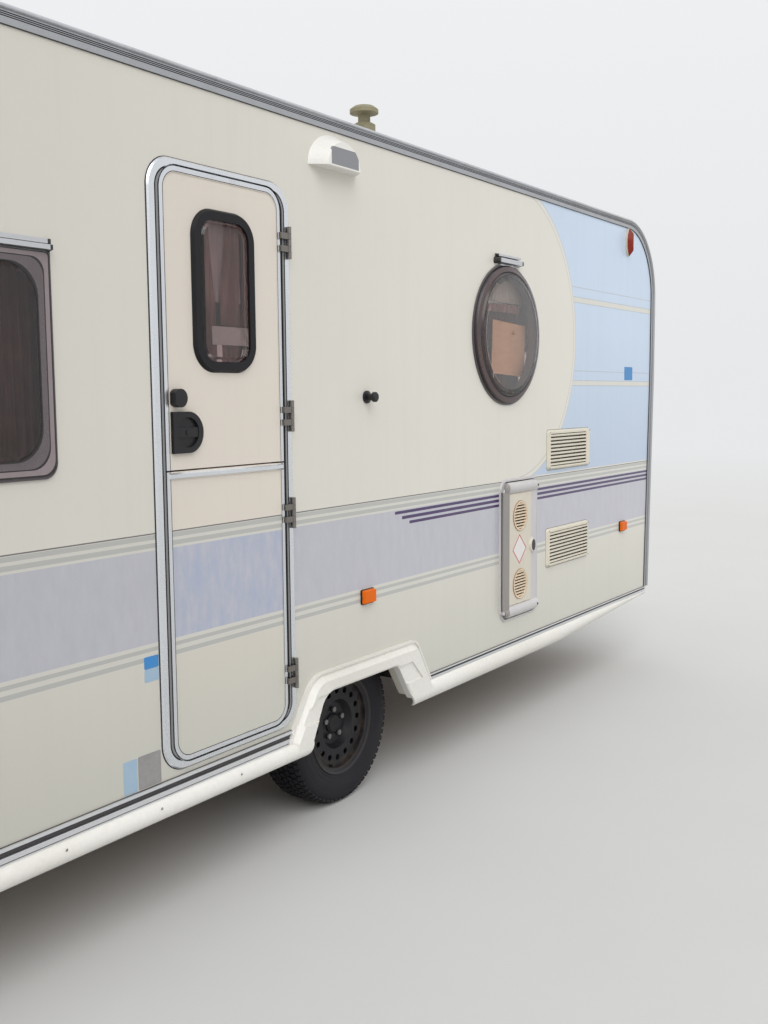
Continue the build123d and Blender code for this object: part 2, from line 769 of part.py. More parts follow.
def side_window(place, side):
    x, z, w, h = place
    ring, opening, hole, sheet, dome = framed(place)
    frame = side_sheet(ring - opening, outer_y - frame_proud, outer_y)
    frame += side_sheet(hole - opening, outer_y, -inner_half)
    rails = window_rail_rows(*place)
    for bar, proud in rails:
        frame += side_sheet(bar, outer_y - proud, outer_y, window_rail_slope)
    face = outer_y - frame_proud - seal_gap
    pane = side_sheet(sheet, face - pane_sheet, face)
    pane += side_sheet(dome, face - pane_sheet - pane_dome, face - pane_sheet, pane_slope)
    pane -= side_sheet(rails[0][0], outer_y - rails[0][1], outer_y)
    return on_side(frame, side), on_side(pane, side)


def end_window(row, facing):
    """A window of the rear wall, or its mirror image on the front wall."""
    y, w, sill, h = row
    z = sill + h / 2
    face_x = rear_x if facing < 0 else -nose_x
    ring, opening, hole, sheet, dome = framed((y, z, w, h))
    wall = nodes["wall_rear"] if facing < 0 else mirror(nodes["wall_front"], Plane.YZ)
    frame = rear_sheet(ring - opening, face_x - frame_proud, face_x + nose_bulge) - wall
    frame = frame.solids().sort_by(SortBy.VOLUME)[-1]
    frame += rear_sheet(hole - opening, face_x, face_x + roof_thickness + nose_bulge)
    rails = window_rail_rows(y, z, w, h)
    for bar, proud in rails:
        frame += rear_sheet(bar, face_x - proud, face_x, window_rail_slope)
    face = face_x - frame_proud - seal_gap
    pane = rear_sheet(sheet, face - pane_sheet, face)
    pane += rear_sheet(dome, face - pane_sheet - pane_dome, face - pane_sheet, pane_slope)
    pane -= rear_sheet(rails[0][0], face_x - rails[0][1], face_x)
    if facing > 0:
        frame, pane = mirror(frame, Plane.YZ), mirror(pane, Plane.YZ)
    return frame, pane


windows = [side_window(place, -1) for place in window_places(right_windows)]
windows += [side_window(place, 1) for place in window_places(left_windows)]
windows += [end_window(row, 1) for row in front_windows]
windows += [end_window(row, -1) for row in rear_windows]
nodes["window_frames"] = Compound(children=[frame for frame, _ in windows])
nodes["window_panes"] = Compound(children=[pane for _, pane in windows])

# Porthole: a frame with its hinge clip, and a domed pane turned with its stepped rim
reveal = porthole - offset(porthole, -frame_wall)
port_frame = side_sheet(
    Pos(porthole_x, porthole_height) * Circle(porthole_radius) - offset(porthole, -frame_wall),
    outer_y - frame_proud, outer_y,
)
port_frame += side_sheet(reveal, outer_y, -inner_half)
for foot, height, width, proud in clip_bars:
    bar = rounded(porthole_x, porthole_height + foot + height / 2, width, height, 12)
    port_frame += side_sheet(bar, outer_y - proud, outer_y, window_rail_slope)
nodes["porthole_frame"] = port_frame
pane_y = outer_y - frame_proud - seal_gap
pane_section = polygon(*[
    (porthole_x + r, pane_y - out, porthole_height) for r, out in porthole_outer + porthole_inner
])
nodes["porthole_pane"] = revolve(
    pane_section, Axis((porthole_x, 0, porthole_height), (0, 1, 0)), 360
)

# Gas locker: frame, box, and a lid with two round louvres, end caps and a lock
lid_outline = offset(locker_hole, -running_clearance)
lid_width = locker_width - 2 * (locker_rim + running_clearance)
lid_height = locker_height - 2 * (locker_rim + running_clearance)
lid_front_x = locker_centre_x + lid_width / 2
locker_frame = side_sheet(locker_outline, outer_y - locker_frame_proud, outer_y, vent_slope)
locker_frame -= side_sheet(locker_hole, outer_y - locker_frame_proud, outer_y)
locker_box = side_sheet(offset(locker_hole, locker_wall), -inner_half, -inner_half + locker_depth)
locker_box -= side_sheet(locker_hole, -inner_half, -inner_half + locker_depth - locker_wall)
lid_y = outer_y - locker_lid_proud
lid = side_sheet(lid_outline, lid_y, lid_y + locker_lid_thickness)
cap_height = 2 * (locker_cap_radius ** 2 - (locker_cap_radius - locker_cap_proud) ** 2) ** 0.5
lid_band = side_sheet(lid_outline, lid_y - locker_cap_proud, lid_y + 1)
for way in (-1, 1):
    cap_z = locker_centre_z + way * (lid_height - cap_height) / 2
    roll = end_sheet(Pos(lid_y + locker_cap_radius - locker_cap_proud, cap_z)
                     * Circle(locker_cap_radius), locker_centre_x - lid_width / 2, lid_front_x)
    lid += roll & lid_band
hinge_band = (locker_hinge_x + locker_rim + 6, locker_hinge_x + locker_rim + 6 + locker_hinge_width)
panel_width = lid_front_x - locker_flange - hinge_band[1]
panel = Pos(hinge_band[1] + panel_width / 2, locker_centre_z) * Rectangle(
    panel_width, lid_height - 2 * cap_height
)
panel_y = lid_y - locker_panel_proud
lid += side_sheet(panel, panel_y, lid_y, door_frame_slope)
bump = Pos(lid_front_x - locker_flange + 8, lock_height) * Circle(lock_bump_radius)
lid += side_sheet(bump & lid_outline, lid_y - lock_bump_proud, lid_y, vent_slope)
vent_x = hinge_band[1] + panel_width / 2
for height in locker_vents:
    place = Pos(vent_x, height)
    bore = place * Circle(locker_vent_radius - locker_vent_rim)
    lid += side_sheet(place * Circle(locker_vent_radius) - bore, panel_y - locker_vent_proud, lid_y)
    lid -= side_sheet(bore, panel_y - locker_vent_proud, lid_y + locker_lid_thickness)
    pitch = 2 * (locker_vent_radius - locker_vent_rim) / locker_vent_slats
    for i in range(locker_vent_slats):
        z = height + (i - (locker_vent_slats - 1) / 2) * pitch
        slat = bore & (Pos(vent_x, z) * Rectangle(2 * locker_vent_radius, pitch / 2))
        lid += side_sheet(slat, panel_y - 2, panel_y + 8)
hinge_low, hinge_high = locker_low + locker_radius, locker_low + locker_height - locker_radius
leaf_strip = block(locker_hinge_x, hinge_band[1], locker_hinge_y - 3, locker_hinge_y + 2,
                   hinge_low, hinge_high)
leaf_strip += block(*hinge_band, locker_hinge_y + 2, lid_y, hinge_low, hinge_high)
leaf_strip += upright(locker_hinge_x, locker_hinge_y, locker_hinge_radius, hinge_low, hinge_high)
lid += leaf_strip - upright(
    locker_hinge_x, locker_hinge_y, locker_pin_radius + bearing_clearance, hinge_low, hinge_high
)
locker_frame += upright(locker_hinge_x, locker_hinge_y, locker_pin_radius,
                        hinge_low - locker_ear, hinge_high + locker_ear)
for z0, z1 in ((hinge_low - locker_ear, hinge_low - pin_gap),
               (hinge_high + pin_gap, hinge_high + locker_ear)):
    locker_frame += upright(locker_hinge_x, locker_hinge_y, locker_hinge_radius, z0, z1)
    locker_frame += block(locker_hinge_x - locker_hinge_radius / 2,
                          locker_hinge_x + locker_hinge_radius,
                          locker_hinge_y, outer_y - locker_frame_proud / 2, z0, z1)
nodes["locker_frame"] = locker_frame
nodes["locker_box"] = locker_box
nodes["locker_lid"] = lid


# Louvred fridge vents
def fridge_vent(x, w, low, h, catch):
    centre_x, centre_z = axle_x + x + w / 2, low + h / 2
    slat_w, slat_h = w - 2 * vent_rim - catch, h - 2 * vent_rim
    slat_x = centre_x - catch / 2
    window = rounded(slat_x, centre_z, slat_w, slat_h, 6)
    vent = side_sheet(rounded(centre_x, centre_z, w, h, 16), outer_y - vent_proud, outer_y, vent_slope)
    vent -= side_sheet(window, outer_y - vent_proud, outer_y)
    pitch = slat_h / vent_slats
    for i in range(vent_slats):
        z = centre_z + (i - (vent_slats - 1) / 2) * pitch
        front, back = outer_y - vent_proud + 1, outer_y - vent_proud + 1 + vent_blade_depth
        blade = polygon(
            (front, z - pitch / 4), (front, z + pitch / 4), (back, z + pitch / 4 + vent_blade_rise),
            (back, z - pitch / 4 + vent_blade_rise),
        )
        vent += end_sheet(blade, slat_x - slat_w / 2 - 1, slat_x + slat_w / 2 + 1)
    return vent


nodes["fridge_vents"] = Compound(children=[fridge_vent(*row) for row in fridge_vents])


# Small fittings on the walls and roof
def half_oval(x, z, width, height):
    """The upper half of an oval, flat along its foot."""
    return (Pos(x, z) * Ellipse(width / 2, height)) & (Pos(x, z + height / 2) * Rectangle(width, height))


def wall_plane(reach):
    return Plane(origin=(0, outer_y - reach, 0), x_dir=(1, 0, 0), z_dir=(0, -1, 0))


lamp_x = axle_x + awning_lamp
nodes["awning_light"] = loft([
    wall_plane(0) * half_oval(lamp_x, awning_lamp_low, awning_lamp_width, awning_lamp_height),
    wall_plane(awning_lamp_depth)
    * half_oval(lamp_x, awning_lamp_low, awning_lens_width, awning_lens_height),
])
nodes["door_catch"] = turned_out(axle_x + catch_x, catch_height, catch_profile, outer_y)


def side_marker(x, z, side):
    shape = rounded(axle_x + x, z, marker_width, marker_height, 8)
    lamp = side_sheet(shape, outer_y - marker_base, outer_y)
    lens = offset(shape, -2)
    lamp += side_sheet(lens, outer_y - marker_depth, outer_y - marker_base, marker_slope)
    return on_side(lamp, side)


def corner_lamp(x, side):
    """A pointed body, widest at its middle, that narrows to a rounded lens."""
    half, reach = corner_lamp_width / 2, corner_lamp_height / 2
    tips = ((x, corner_lamp_z - reach), (x, corner_lamp_z + reach))
    shape = make_face(
        ThreePointArc(tips[0], (x + half, corner_lamp_z), tips[1])
        + ThreePointArc(tips[1], (x - half, corner_lamp_z), tips[0])
    )
    lamp = side_sheet(shape, outer_y - corner_lamp_base, outer_y)
    lamp += side_sheet(shape, outer_y - corner_lamp_depth, outer_y - corner_lamp_base,
                       corner_lamp_slope)
    return on_side(lamp, side)


lamps = [side_marker(*place, side) for side in (-1, 1) for place in side_markers]
lamps += [corner_lamp(x, side) for side in (-1, 1)
          for x in (front_x - front_lamp_inset, rear_x + rear_lamp_inset)]
nodes["marker_lamps"] = Compound(children=lamps)
nodes["flue_cowl"] = turned_up(axle_x + cowl_forward, outer_y + cowl_inset, cowl_profile, roof_top)
lights = []
for x, length, width in roof_lights:
    base = Pos(axle_x + x, 0) * RectangleRounded(length, width, 50)
    dome = Pos(axle_x + x, 0) * RectangleRounded(length - light_step, width - light_step, 40)
    lights.append(
        flat_sheet(base, roof_top, roof_top + light_base)
        + flat_sheet(dome, roof_top + light_base, roof_top + light_base + light_dome, light_slope)
    )
nodes["roof_lights"] = Compound(children=lights)

# Rear bumper with its lamps and the place for a plate, and grab handles at the corners
bumper_top = bumper_low + bumper_height
bumper_half = half_width - bumper_inset
bumper_face = rear_x - bumper_depth
bumper_side = polygon(
    (rear_x, bumper_low), (bumper_face + bumper_bevel, bumper_low),
    (bumper_face, bumper_low + bumper_bevel), (bumper_face, bumper_top - bumper_bevel),
    (bumper_face + bumper_bevel, bumper_top), (rear_x, bumper_top),
)
bumper = side_sheet(bumper_side, -bumper_half, bumper_half)
bumper_plan = polygon(
    (rear_x, -bumper_half), (bumper_face + bumper_bevel, -bumper_half),
    (bumper_face, -bumper_half + bumper_bevel), (bumper_face, bumper_half - bumper_bevel),
    (bumper_face + bumper_bevel, bumper_half), (rear_x, bumper_half),
)
bumper &= flat_sheet(bumper_plan, bumper_low, bumper_top)
bumper_middle = (bumper_low + bumper_top) / 2
bumper -= block(bumper_face, bumper_face + 6, -plate_width / 2, plate_width / 2,
                bumper_middle - plate_height / 2, bumper_middle + plate_height / 2)
rear_lamps = []
for side in (-1, 1):
    lamp_y = side * (half_width - rear_lamp_from_side - rear_lamp_width / 2)
    shape = rounded(lamp_y, bumper_middle, rear_lamp_width, bumper_height - 2 * rear_lamp_margin, 14)
    body = rear_sheet(shape, bumper_face, bumper_face + rear_lamp_recess)
    bumper -= body
    lens = rear_sheet(shape, bumper_face - rear_lamp_proud, bumper_face, vent_slope)
    rear_lamps.append(body + lens)
nodes["rear_bumper"] = bumper
nodes["rear_lamps"] = Compound(children=rear_lamps)
grabs = []
for x_face, way in ((rear_x, -1), (front_x, 1)):
    for side in (-1, 1):
        y = side * (half_width - handle_inset)
        start, reach = x_face - way * nose_bulge, x_face + way * handle_reach
        low, high = handle_low + handle_bar, handle_low + handle_grip - handle_bar
        route = FilletPolyline((start, y, low), (reach, y, low), (reach, y, high), (start, y, high),
                               radius=handle_bend)
        grip = sweep(Plane(origin=(start, y, low), z_dir=(way, 0, 0)) * Circle(handle_bar), path=route)
        grabs.append(grip - cabin_block)
nodes["grab_handles"] = Compound(children=grabs)


# Chassis
def rail_section(side):
    """A channel that opens inwards, as a Y-Z outline."""
    web = Pos(side * (rail_y - rail_web / 2), floor_low - rail_depth / 2) * Rectangle(
        rail_web, rail_depth
    )
    flange = Rectangle(rail_flange, rail_web)
    y = side * (rail_y - rail_flange / 2)
    top = Pos(y, floor_low - rail_web / 2) * flange
    low = Pos(y, floor_low - rail_depth + rail_web / 2) * flange
    return web + top + low


join_x = axle_x + rail_join
arm_end_x = coupling_tip - coupling_back
for side, name in ((-1, "right"), (1, "left")):
    rail = end_sheet(rail_section(side), axle_x - rail_rear, join_x)
    for x in rail_holes:
        rail -= across(axle_x + x, floor_low - rail_depth / 2, rail_hole_radius, -rail_y, rail_y)
    nodes["chassis_rail_" + name] = rail
    arm = polygon(
        (join_x, side * rail_y), (arm_end_x, side * arm_tip_y),
        (arm_end_x, side * (arm_tip_y - rail_flange + 2 * rail_web + 4)),
        (join_x, side * (rail_y - rail_flange)),
    )
    hollow = polygon(
        (join_x, side * (rail_y - rail_web)), (arm_end_x, side * (arm_tip_y - rail_web)),
        (arm_end_x, side * (arm_tip_y - rail_flange)), (join_x, side * (rail_y - rail_flange - 10)),
    )
    body = flat_sheet(arm, floor_low - rail_depth, floor_low)
    body -= flat_sheet(hollow, floor_low - rail_depth + rail_web, floor_low - rail_web)
    nodes["drawbar_" + name] = body
channel = Rectangle(cross_width, cross_depth)
channel -= Pos(rail_web, 0) * Rectangle(cross_width, cross_depth - 2 * rail_web)
nodes["cross_members"] = Compound(children=[
    side_sheet(Pos(axle_x + x, floor_low - rail_web - cross_depth / 2) * channel,
               -rail_y + rail_web, rail_y - rail_web)
    for x in cross_members
])

# Axle tube, trailing arms and hubs
tube_x = axle_x + arm_trail
tube_z = floor_low - rail_depth - axle_flats / 2
arm_outer_y = wheel_centre_y - tyre_width / 2 - 20
arm_inner_y = arm_outer_y - arm_thickness
hexagon = Pos(tube_x, tube_z) * RegularPolygon(axle_flats / 2, 6, major_radius=False)
nodes["axle_tube"] = side_sheet(hexagon, -arm_inner_y, arm_inner_y)
disc_face = wheel_centre_y + disc_offset
drum_face = disc_face - rim_sheet
backplate_y = drum_face - drum_width - running_clearance - backplate_thickness
arms = []
for side in (-1, 1):
    lever = make_hull((
        (Pos(tube_x, tube_z) * Circle(axle_flats / 2))
        + (Pos(axle_x, wheel_height) * Circle(arm_end_radius))
    ).edges())
    arm = side_sheet(lever, -arm_outer_y, -arm_inner_y)
    arm += across(axle_x, wheel_height, arm_end_radius - 4, -backplate_y, -arm_outer_y)
    arm += across(axle_x, wheel_height, backplate_radius, -backplate_y - backplate_thickness,
                  -backplate_y)
    arm += across(axle_x, wheel_height, stub_radius, -drum_face + 6,
                  -backplate_y - backplate_thickness)
    arms.append(on_side(arm, side))
nodes["trailing_arms"] = Compound(children=arms)


# Wheels
def spin(points):
    """Turns an outline of (radius, place across) about the wheel's axis, on the right."""
    plane = Plane(origin=(axle_x, 0, wheel_height), x_dir=(0, 0, 1), z_dir=(1, 0, 0))
    face = plane * polygon(*[(radius, -y) for radius, y in points])
    return revolve(face, Axis((axle_x, 0, wheel_height), (0, 1, 0)), 360)


def round_hub(radius, count, start=0):
    """Places on a circle about the wheel's axis."""
    turns = [radians(360 / count * i + start) for i in range(count)]
    return [(axle_x + radius * cos(turn), wheel_height + radius * sin(turn)) for turn in turns]


def tyre_shape():
    centre, half, seat = -wheel_centre_y, tyre_width / 2, rim_width / 2
    return spin([
        (rim_seat_radius, centre - seat + 8),
        ((rim_flange_radius + tyre_radius) / 2, centre - half),
        (tyre_radius - tyre_shoulder, centre - half + 6),
        (tyre_radius, centre - half + tyre_shoulder),
        (tyre_radius, centre + half - tyre_shoulder),
        ((rim_flange_radius + tyre_radius) / 2, centre + half),
        (rim_seat_radius, centre + seat - 8),
    ])


def rim_shape():
    """A steel wheel: a drop-centre barrel, and a disc with a ring of holes."""
    centre, edge, sheet = -wheel_centre_y, rim_width / 2, rim_sheet
    well = rim_seat_radius - rim_drop
    barrel = spin([
        (rim_flange_radius, centre - edge - 8), (rim_flange_radius, centre - edge - 3),
        (rim_seat_radius, centre - edge + 8), (rim_seat_radius, centre - edge + 34),
        (well, centre - edge + 50), (well, centre + edge - 50),
        (rim_seat_radius, centre + edge - 34), (rim_seat_radius, centre + edge - 8),
        (rim_flange_radius, centre + edge + 3), (rim_flange_radius, centre + edge + 8),
        (rim_seat_radius - sheet, centre + edge - 4), (rim_seat_radius - sheet, centre + edge - 36),
        (well - sheet, centre + edge - 52), (well - sheet, centre - edge + 52),
        (rim_seat_radius - sheet, centre - edge + 36), (rim_seat_radius - sheet, centre - edge + 4),
    ])
    face, ring = -disc_face, -disc_face - disc_dish
    disc_edge = rim_seat_radius - sheet / 2
    disc = spin([
        (hub_bore_radius, face), (disc_boss_radius, face), (disc_ring_radius, ring),
        (disc_edge, ring), (disc_edge, ring + sheet), (disc_ring_radius + 2, ring + sheet),
        (disc_boss_radius + 2, face + sheet), (hub_bore_radius, face + sheet),
    ])
    for x, z in round_hub(disc_hole_circle, disc_holes):
        disc -= across(x, z, disc_hole_radius, ring, ring + sheet)
    return barrel + disc


def drum_shape():
    """The brake drum with its hub and the wheel bolts."""
    drum = spin([
        (stub_radius + bearing_clearance, -drum_face + drum_width),
        (stub_radius + bearing_clearance, -drum_face + 4), (0, -drum_face + 4),
        (0, -disc_face - hub_cap_length), (hub_bore_radius - 8, -disc_face - hub_cap_length),
        (hub_bore_radius - bearing_clearance, -disc_face - hub_cap_length + 8),
        (hub_bore_radius - bearing_clearance, -drum_face), (drum_radius, -drum_face),
        (drum_radius, -drum_face + drum_width),
        (drum_radius - drum_wall, -drum_face + drum_width),
        (drum_radius - drum_wall, -drum_face + drum_wall + 2),
        (hub_bore_radius + 4, -drum_face + drum_wall + 2),
        (hub_bore_radius + 4, -drum_face + drum_width),
    ])
    for x, z in round_hub(stud_circle, bolt_count, 90):
        bolt = Pos(x, z) * RegularPolygon(bolt_radius, 6)
        drum += side_sheet(bolt, -disc_face - bolt_length, -disc_face)
    return drum


for name, make in (("tyre", tyre_shape), ("rim", rim_shape), ("drum", drum_shape)):
    shape = make()
    for side, side_name in ((-1, "right"), (1, "left")):
        nodes[name + "_" + side_name] = on_side(shape, side)

# Coupling: the overrun housing, its bellows, the ball head and its lever
ball_x, shaft_z = coupling_tip - ball_back, floor_low + shaft_rise
bellows_x = [coupling_tip - reach for reach in bellows]
coupling = block(arm_end_x, bellows_x[0] + 60, -arm_tip_y, arm_tip_y, floor_low - rail_depth, floor_low)
coupling += end_sheet(Pos(0, shaft_z) * Circle(bellows_radius) + Pos(0, floor_low + shaft_rise / 2)
                      * Rectangle(2 * bellows_radius, shaft_rise), arm_end_x - shaft_behind, bellows_x[0])
rib = (bellows_x[1] - bellows_x[0]) / bellows_ribs
folds = []
for i in range(bellows_ribs):
    start = bellows_x[0] + i * rib
    folds += [(start, 0, shaft_z + bellows_waist), (start + rib / 2, 0, shaft_z + bellows_radius - i)]
gaiter = polygon((bellows_x[0], 0, shaft_z), *folds, (bellows_x[1], 0, shaft_z + bellows_waist),
                 (bellows_x[1], 0, shaft_z))
coupling += revolve(gaiter, Axis((bellows_x[0], 0, shaft_z), (1, 0, 0)), 360)
head_plan = polygon(
    (coupling_tip - head_rear - 6, -30), (coupling_tip - 60, -ball_back), (coupling_tip - 60, ball_back),
    (coupling_tip - head_rear - 6, 30),
) + Pos(ball_x, 0) * Circle(ball_back)
head = flat_sheet(head_plan, floor_low + head_rise, floor_low + head_rise + head_height)
head -= Pos(ball_x, 0, floor_low + socket_rise) * Sphere(ball_radius)
head -= upright(ball_x, 0, ball_radius, floor_low, floor_low + socket_rise)
coupling += head
lever_x = coupling_tip - 90
head_top = floor_low + head_rise + head_height
coupling += side_sheet(
    polygon(
        (lever_x, head_top), (lever_x, head_top + lever_height),
        (lever_x - lever_length, head_top + 2 * lever_height + 10),
        (lever_x - lever_length, head_top + lever_height + 10), (lever_x - 70, head_top),
    ),
    -lever_half, lever_half,
)
nodes["coupling"] = coupling
brake_x = arm_end_x - brake_back
brake = side_sheet(
    polygon(
        (brake_x - 30, floor_low + 8), (brake_x + 20, floor_low + 8), (brake_x + 8, floor_low + 70),
        (brake_x - 150, floor_low + 330), (brake_x - 176, floor_low + 314),
        (brake_x - 30, floor_low + 62),
    ),
    brake_side, brake_side + brake_thickness,
)
brake += block(brake_x - 60, brake_x + 20, brake_side - 4, brake_side + brake_thickness,
               floor_low, floor_low + 8)
nodes["handbrake"] = brake

# Jockey wheel: clamp and outer tube, sliding post, turning fork, wheel
jockey_x = coupling_tip - jockey_back
slope = (rail_y - arm_tip_y) / (arm_end_x - join_x)
arm_face_y = arm_tip_y + (arm_end_x - jockey_x) * slope
jockey_y = -(arm_face_y + jockey_outer_radius + jockey_side_gap)
clamp_half = jockey_outer_radius + 12
outer = upright(jockey_x, jockey_y, jockey_outer_radius, jockey_outer_low, jockey_outer_top)
clamp = block(jockey_x - clamp_half, jockey_x + clamp_half, jockey_y, -arm_face_y + 2, *jockey_clamp)
clamp += upright(jockey_x, jockey_y, clamp_half - 2, *jockey_clamp)
clamp -= nodes["drawbar_right"]
outer += clamp.solids().sort_by(SortBy.VOLUME)[-1]
outer -= upright(jockey_x, jockey_y, jockey_inner_radius + bearing_clearance, jockey_outer_low,
                 jockey_outer_top - 10)
crank_top = jockey_outer_top + crank_rise
crank = upright(jockey_x, jockey_y, 8, jockey_outer_top, crank_top)
crank += block(jockey_x - 8, jockey_x + crank_reach + 8, jockey_y - 6, jockey_y + 6,
               crank_top - 12, crank_top)
crank += turned_up(jockey_x + crank_reach, jockey_y, ((9, 0), (13, crank_grip / 2), (11, crank_grip)),
                   crank_top)
nodes["jockey_tube"] = outer + crank
fork_top = 2 * jockey_radius + 14
nodes["jockey_post"] = upright(
    jockey_x, jockey_y, jockey_inner_radius, fork_top + 9, jockey_outer_top - 190
)
fork_half = jockey_width / 2 + running_clearance
wheel_x = jockey_x - jockey_trail
fork = block(jockey_x - fork_behind, jockey_x + fork_ahead, jockey_y - fork_half - fork_sheet,
             jockey_y + fork_half + fork_sheet, fork_top, fork_top + 9 - bearing_clearance)
for way in (-1, 1):
    near, far = sorted((jockey_y + way * fork_half, jockey_y + way * (fork_half + fork_sheet)))
    cheek = polygon(
        (jockey_x - fork_behind, fork_top), (jockey_x + fork_ahead, fork_top),
        (wheel_x + 24, jockey_radius), (wheel_x + 14, jockey_radius - 22),
        (wheel_x - 14, jockey_radius - 22), (wheel_x - 24, jockey_radius),
    )
    fork += side_sheet(cheek, near, far)
fork += across(wheel_x, jockey_radius, jockey_axle, jockey_y - fork_half - 2 * fork_sheet,
               jockey_y + fork_half + 2 * fork_sheet)
nodes["jockey_fork"] = fork
roller_half = jockey_width / 2
roller = revolve(
    polygon(*[
        (wheel_x, jockey_y + y, jockey_radius + r)
        for r, y in (
            (jockey_axle + bearing_clearance, -roller_half), (24, -roller_half), (26, -12), (66, -12),
            (70, -24), (92, -roller_half + 4), (jockey_radius, -16), (jockey_radius, 16),
            (92, roller_half - 4), (70, 24), (66, 12), (26, 12), (24, roller_half),
            (jockey_axle + bearing_clearance, roller_half),
        )
    ]),
    Axis((wheel_x, jockey_y, jockey_radius), (0, 1, 0)), 360,
)
nodes["jockey_wheel"] = roller

# Corner steadies, folded up under the floor
pivot_z = floor_low - steady_pivot_drop
brackets = []
for name, x, way in (("front", steady_front, 1), ("rear", -steady_rear, -1)):
    for side, side_name in ((-1, "right"), (1, "left")):
        px, py = axle_x + x, side * steady_y
        half, foot_x_end = steady_width / 2, px + way * steady_length
        leg = side_sheet(
            polygon(
                (px - way * 20, pivot_z - 20), (px - way * 20, pivot_z + 20),
                (foot_x_end, pivot_z + 12), (foot_x_end, pivot_z - 12),
            ),
            py - half, py + half,
        )
        channel = block(min(px + way * 40, foot_x_end - way * 14), max(px + way * 40, foot_x_end - way * 14),
                        py - half + steady_sheet, py + half - steady_sheet,
                        pivot_z - 6, pivot_z + steady_pivot_drop)
        leg -= channel
        leg += block(min(foot_x_end, foot_x_end + way * 8), max(foot_x_end, foot_x_end + way * 8),
                     py - half - 18, py + half + 18, pivot_z - foot_drop, pivot_z + 20)
        leg -= across(px, pivot_z, steady_pin + bearing_clearance, py - half, py + half)
        nodes["steady_" + name + "_" + side_name] = leg
        ear = half + steady_gap
        plate = block(px - 50, px + 50, py - ear - 9, py + ear + 9, floor_low - 6, floor_low)
        for edge in (-1, 1):
            near, far = sorted((py + edge * ear, py + edge * (ear + 6)))
            plate += block(px - 26, px + 26, near, far, pivot_z - 20, floor_low)
        plate += across(px, pivot_z, steady_pin, py - ear - 9, py + ear + 9)
        brackets.append(plate)
nodes["steady_brackets"] = Compound(children=brackets)

# Inside, as far as the door and windows show it
cabin_back = rear_x + roof_thickness + 2
cabin_front = foot_x - roof_thickness - 14
base_top = seat_top - seat_cushion
seats = {  # rear edge, front edge, right edge, left edge
    "bed": (cabin_back, cabin_back + bed_length, -inner_half, inner_half),
    "front seat": (cabin_front - bench_depth, cabin_front, -inner_half + bench_gap - 28, inner_half),
    "side seat": (axle_x + side_bench[0], axle_x + side_bench[1], inner_half - side_bench[2],
                  inner_half),
}
cabinets = [block(*place, floor_top, base_top) for place in seats.values()]
cabinets.append(block(axle_x + fridge[0], axle_x + fridge[1], -inner_half, -inner_half + fridge[2],
                      floor_top, fridge[3]))
cabinets.append(block(axle_x + kitchen[0], axle_x + kitchen[1], inner_half - kitchen[2], inner_half,
                      floor_top, kitchen[3]))
nodes["cabinets"] = Compound(children=cabinets)
nodes["cushions"] = Compound(children=[
    flat_sheet(
        Pos((x0 + x1) / 2, (y0 + y1) / 2)
        * RectangleRounded(x1 - x0 - 2 * cushion_inset, y1 - y0 - 2 * cushion_inset, 40),
        base_top, seat_top,
    )
    for x0, x1, y0, y1 in seats.values()
])

os.makedirs("parts", exist_ok=True)
for name, shape in nodes.items():
    export_step(shape, "parts/" + name + ".step")
print(len(nodes), "nodes written")
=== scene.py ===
import bmesh
import bpy
import math
from mathutils import Matrix, Vector


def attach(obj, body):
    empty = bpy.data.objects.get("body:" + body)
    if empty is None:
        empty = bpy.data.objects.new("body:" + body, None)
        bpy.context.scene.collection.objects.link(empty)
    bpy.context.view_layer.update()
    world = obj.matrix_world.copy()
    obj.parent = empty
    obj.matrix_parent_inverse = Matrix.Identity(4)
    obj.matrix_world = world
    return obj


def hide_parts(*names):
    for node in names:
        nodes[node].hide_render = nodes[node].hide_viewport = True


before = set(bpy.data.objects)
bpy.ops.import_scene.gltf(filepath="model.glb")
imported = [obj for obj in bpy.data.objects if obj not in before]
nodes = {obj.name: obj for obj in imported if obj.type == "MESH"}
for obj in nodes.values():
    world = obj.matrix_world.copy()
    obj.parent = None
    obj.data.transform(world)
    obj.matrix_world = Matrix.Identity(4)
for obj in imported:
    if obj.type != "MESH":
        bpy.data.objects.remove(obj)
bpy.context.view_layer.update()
print("frame loaded,", len(nodes), "nodes")

# The cabin's half width and the wheels' axis, which several pieces share: metres
cabinHalf = 1.150
axle = {"x": -0.785, "z": 0.310, "tyreY": 0.945}


def addObject(name, data):
    made = bpy.data.objects.new(name, data)
    bpy.context.scene.collection.objects.link(made)
    return made


# Camera, where the photographer stood: metres and degrees
photo = {
    "x": -4.185, "y": -3.520, "z": 1.598,
    "turn": 33.928,  # from the caravan's length towards its left side
    "tip": 6.026,  # looking down
    "roll": -0.478,
    "focalPixels": 1095.2, "heightPixels": 1024,
    "sensor": 36.0, "clipEnd": 500,
}


def makeCamera(p):
    turn, tip, roll = (math.radians(p[key]) for key in ("turn", "tip", "roll"))
    ahead = Vector((math.cos(turn) * math.cos(tip), math.sin(turn) * math.cos(tip), -math.sin(tip)))
    level = ahead.cross(Vector((0, 0, 1))).normalized()
    upward = level.cross(ahead)
    right = math.cos(roll) * level + math.sin(roll) * upward
    up = math.cos(roll) * upward - math.sin(roll) * level
    data = bpy.data.cameras.new("camera")
    data.sensor_fit = "VERTICAL"
    data.sensor_height = p["sensor"]
    data.lens = p["focalPixels"] / p["heightPixels"] * p["sensor"]
    data.clip_end = p["clipEnd"]
    camera = addObject("camera", data)
    rows = [(right[k], up[k], -ahead[k], p["xyz"[k]]) for k in range(3)]
    camera.matrix_world = Matrix((*rows, (0, 0, 0, 1)))
    bpy.context.scene.camera = camera


makeCamera(photo)
bpy.context.scene.view_settings.view_transform = "Standard"


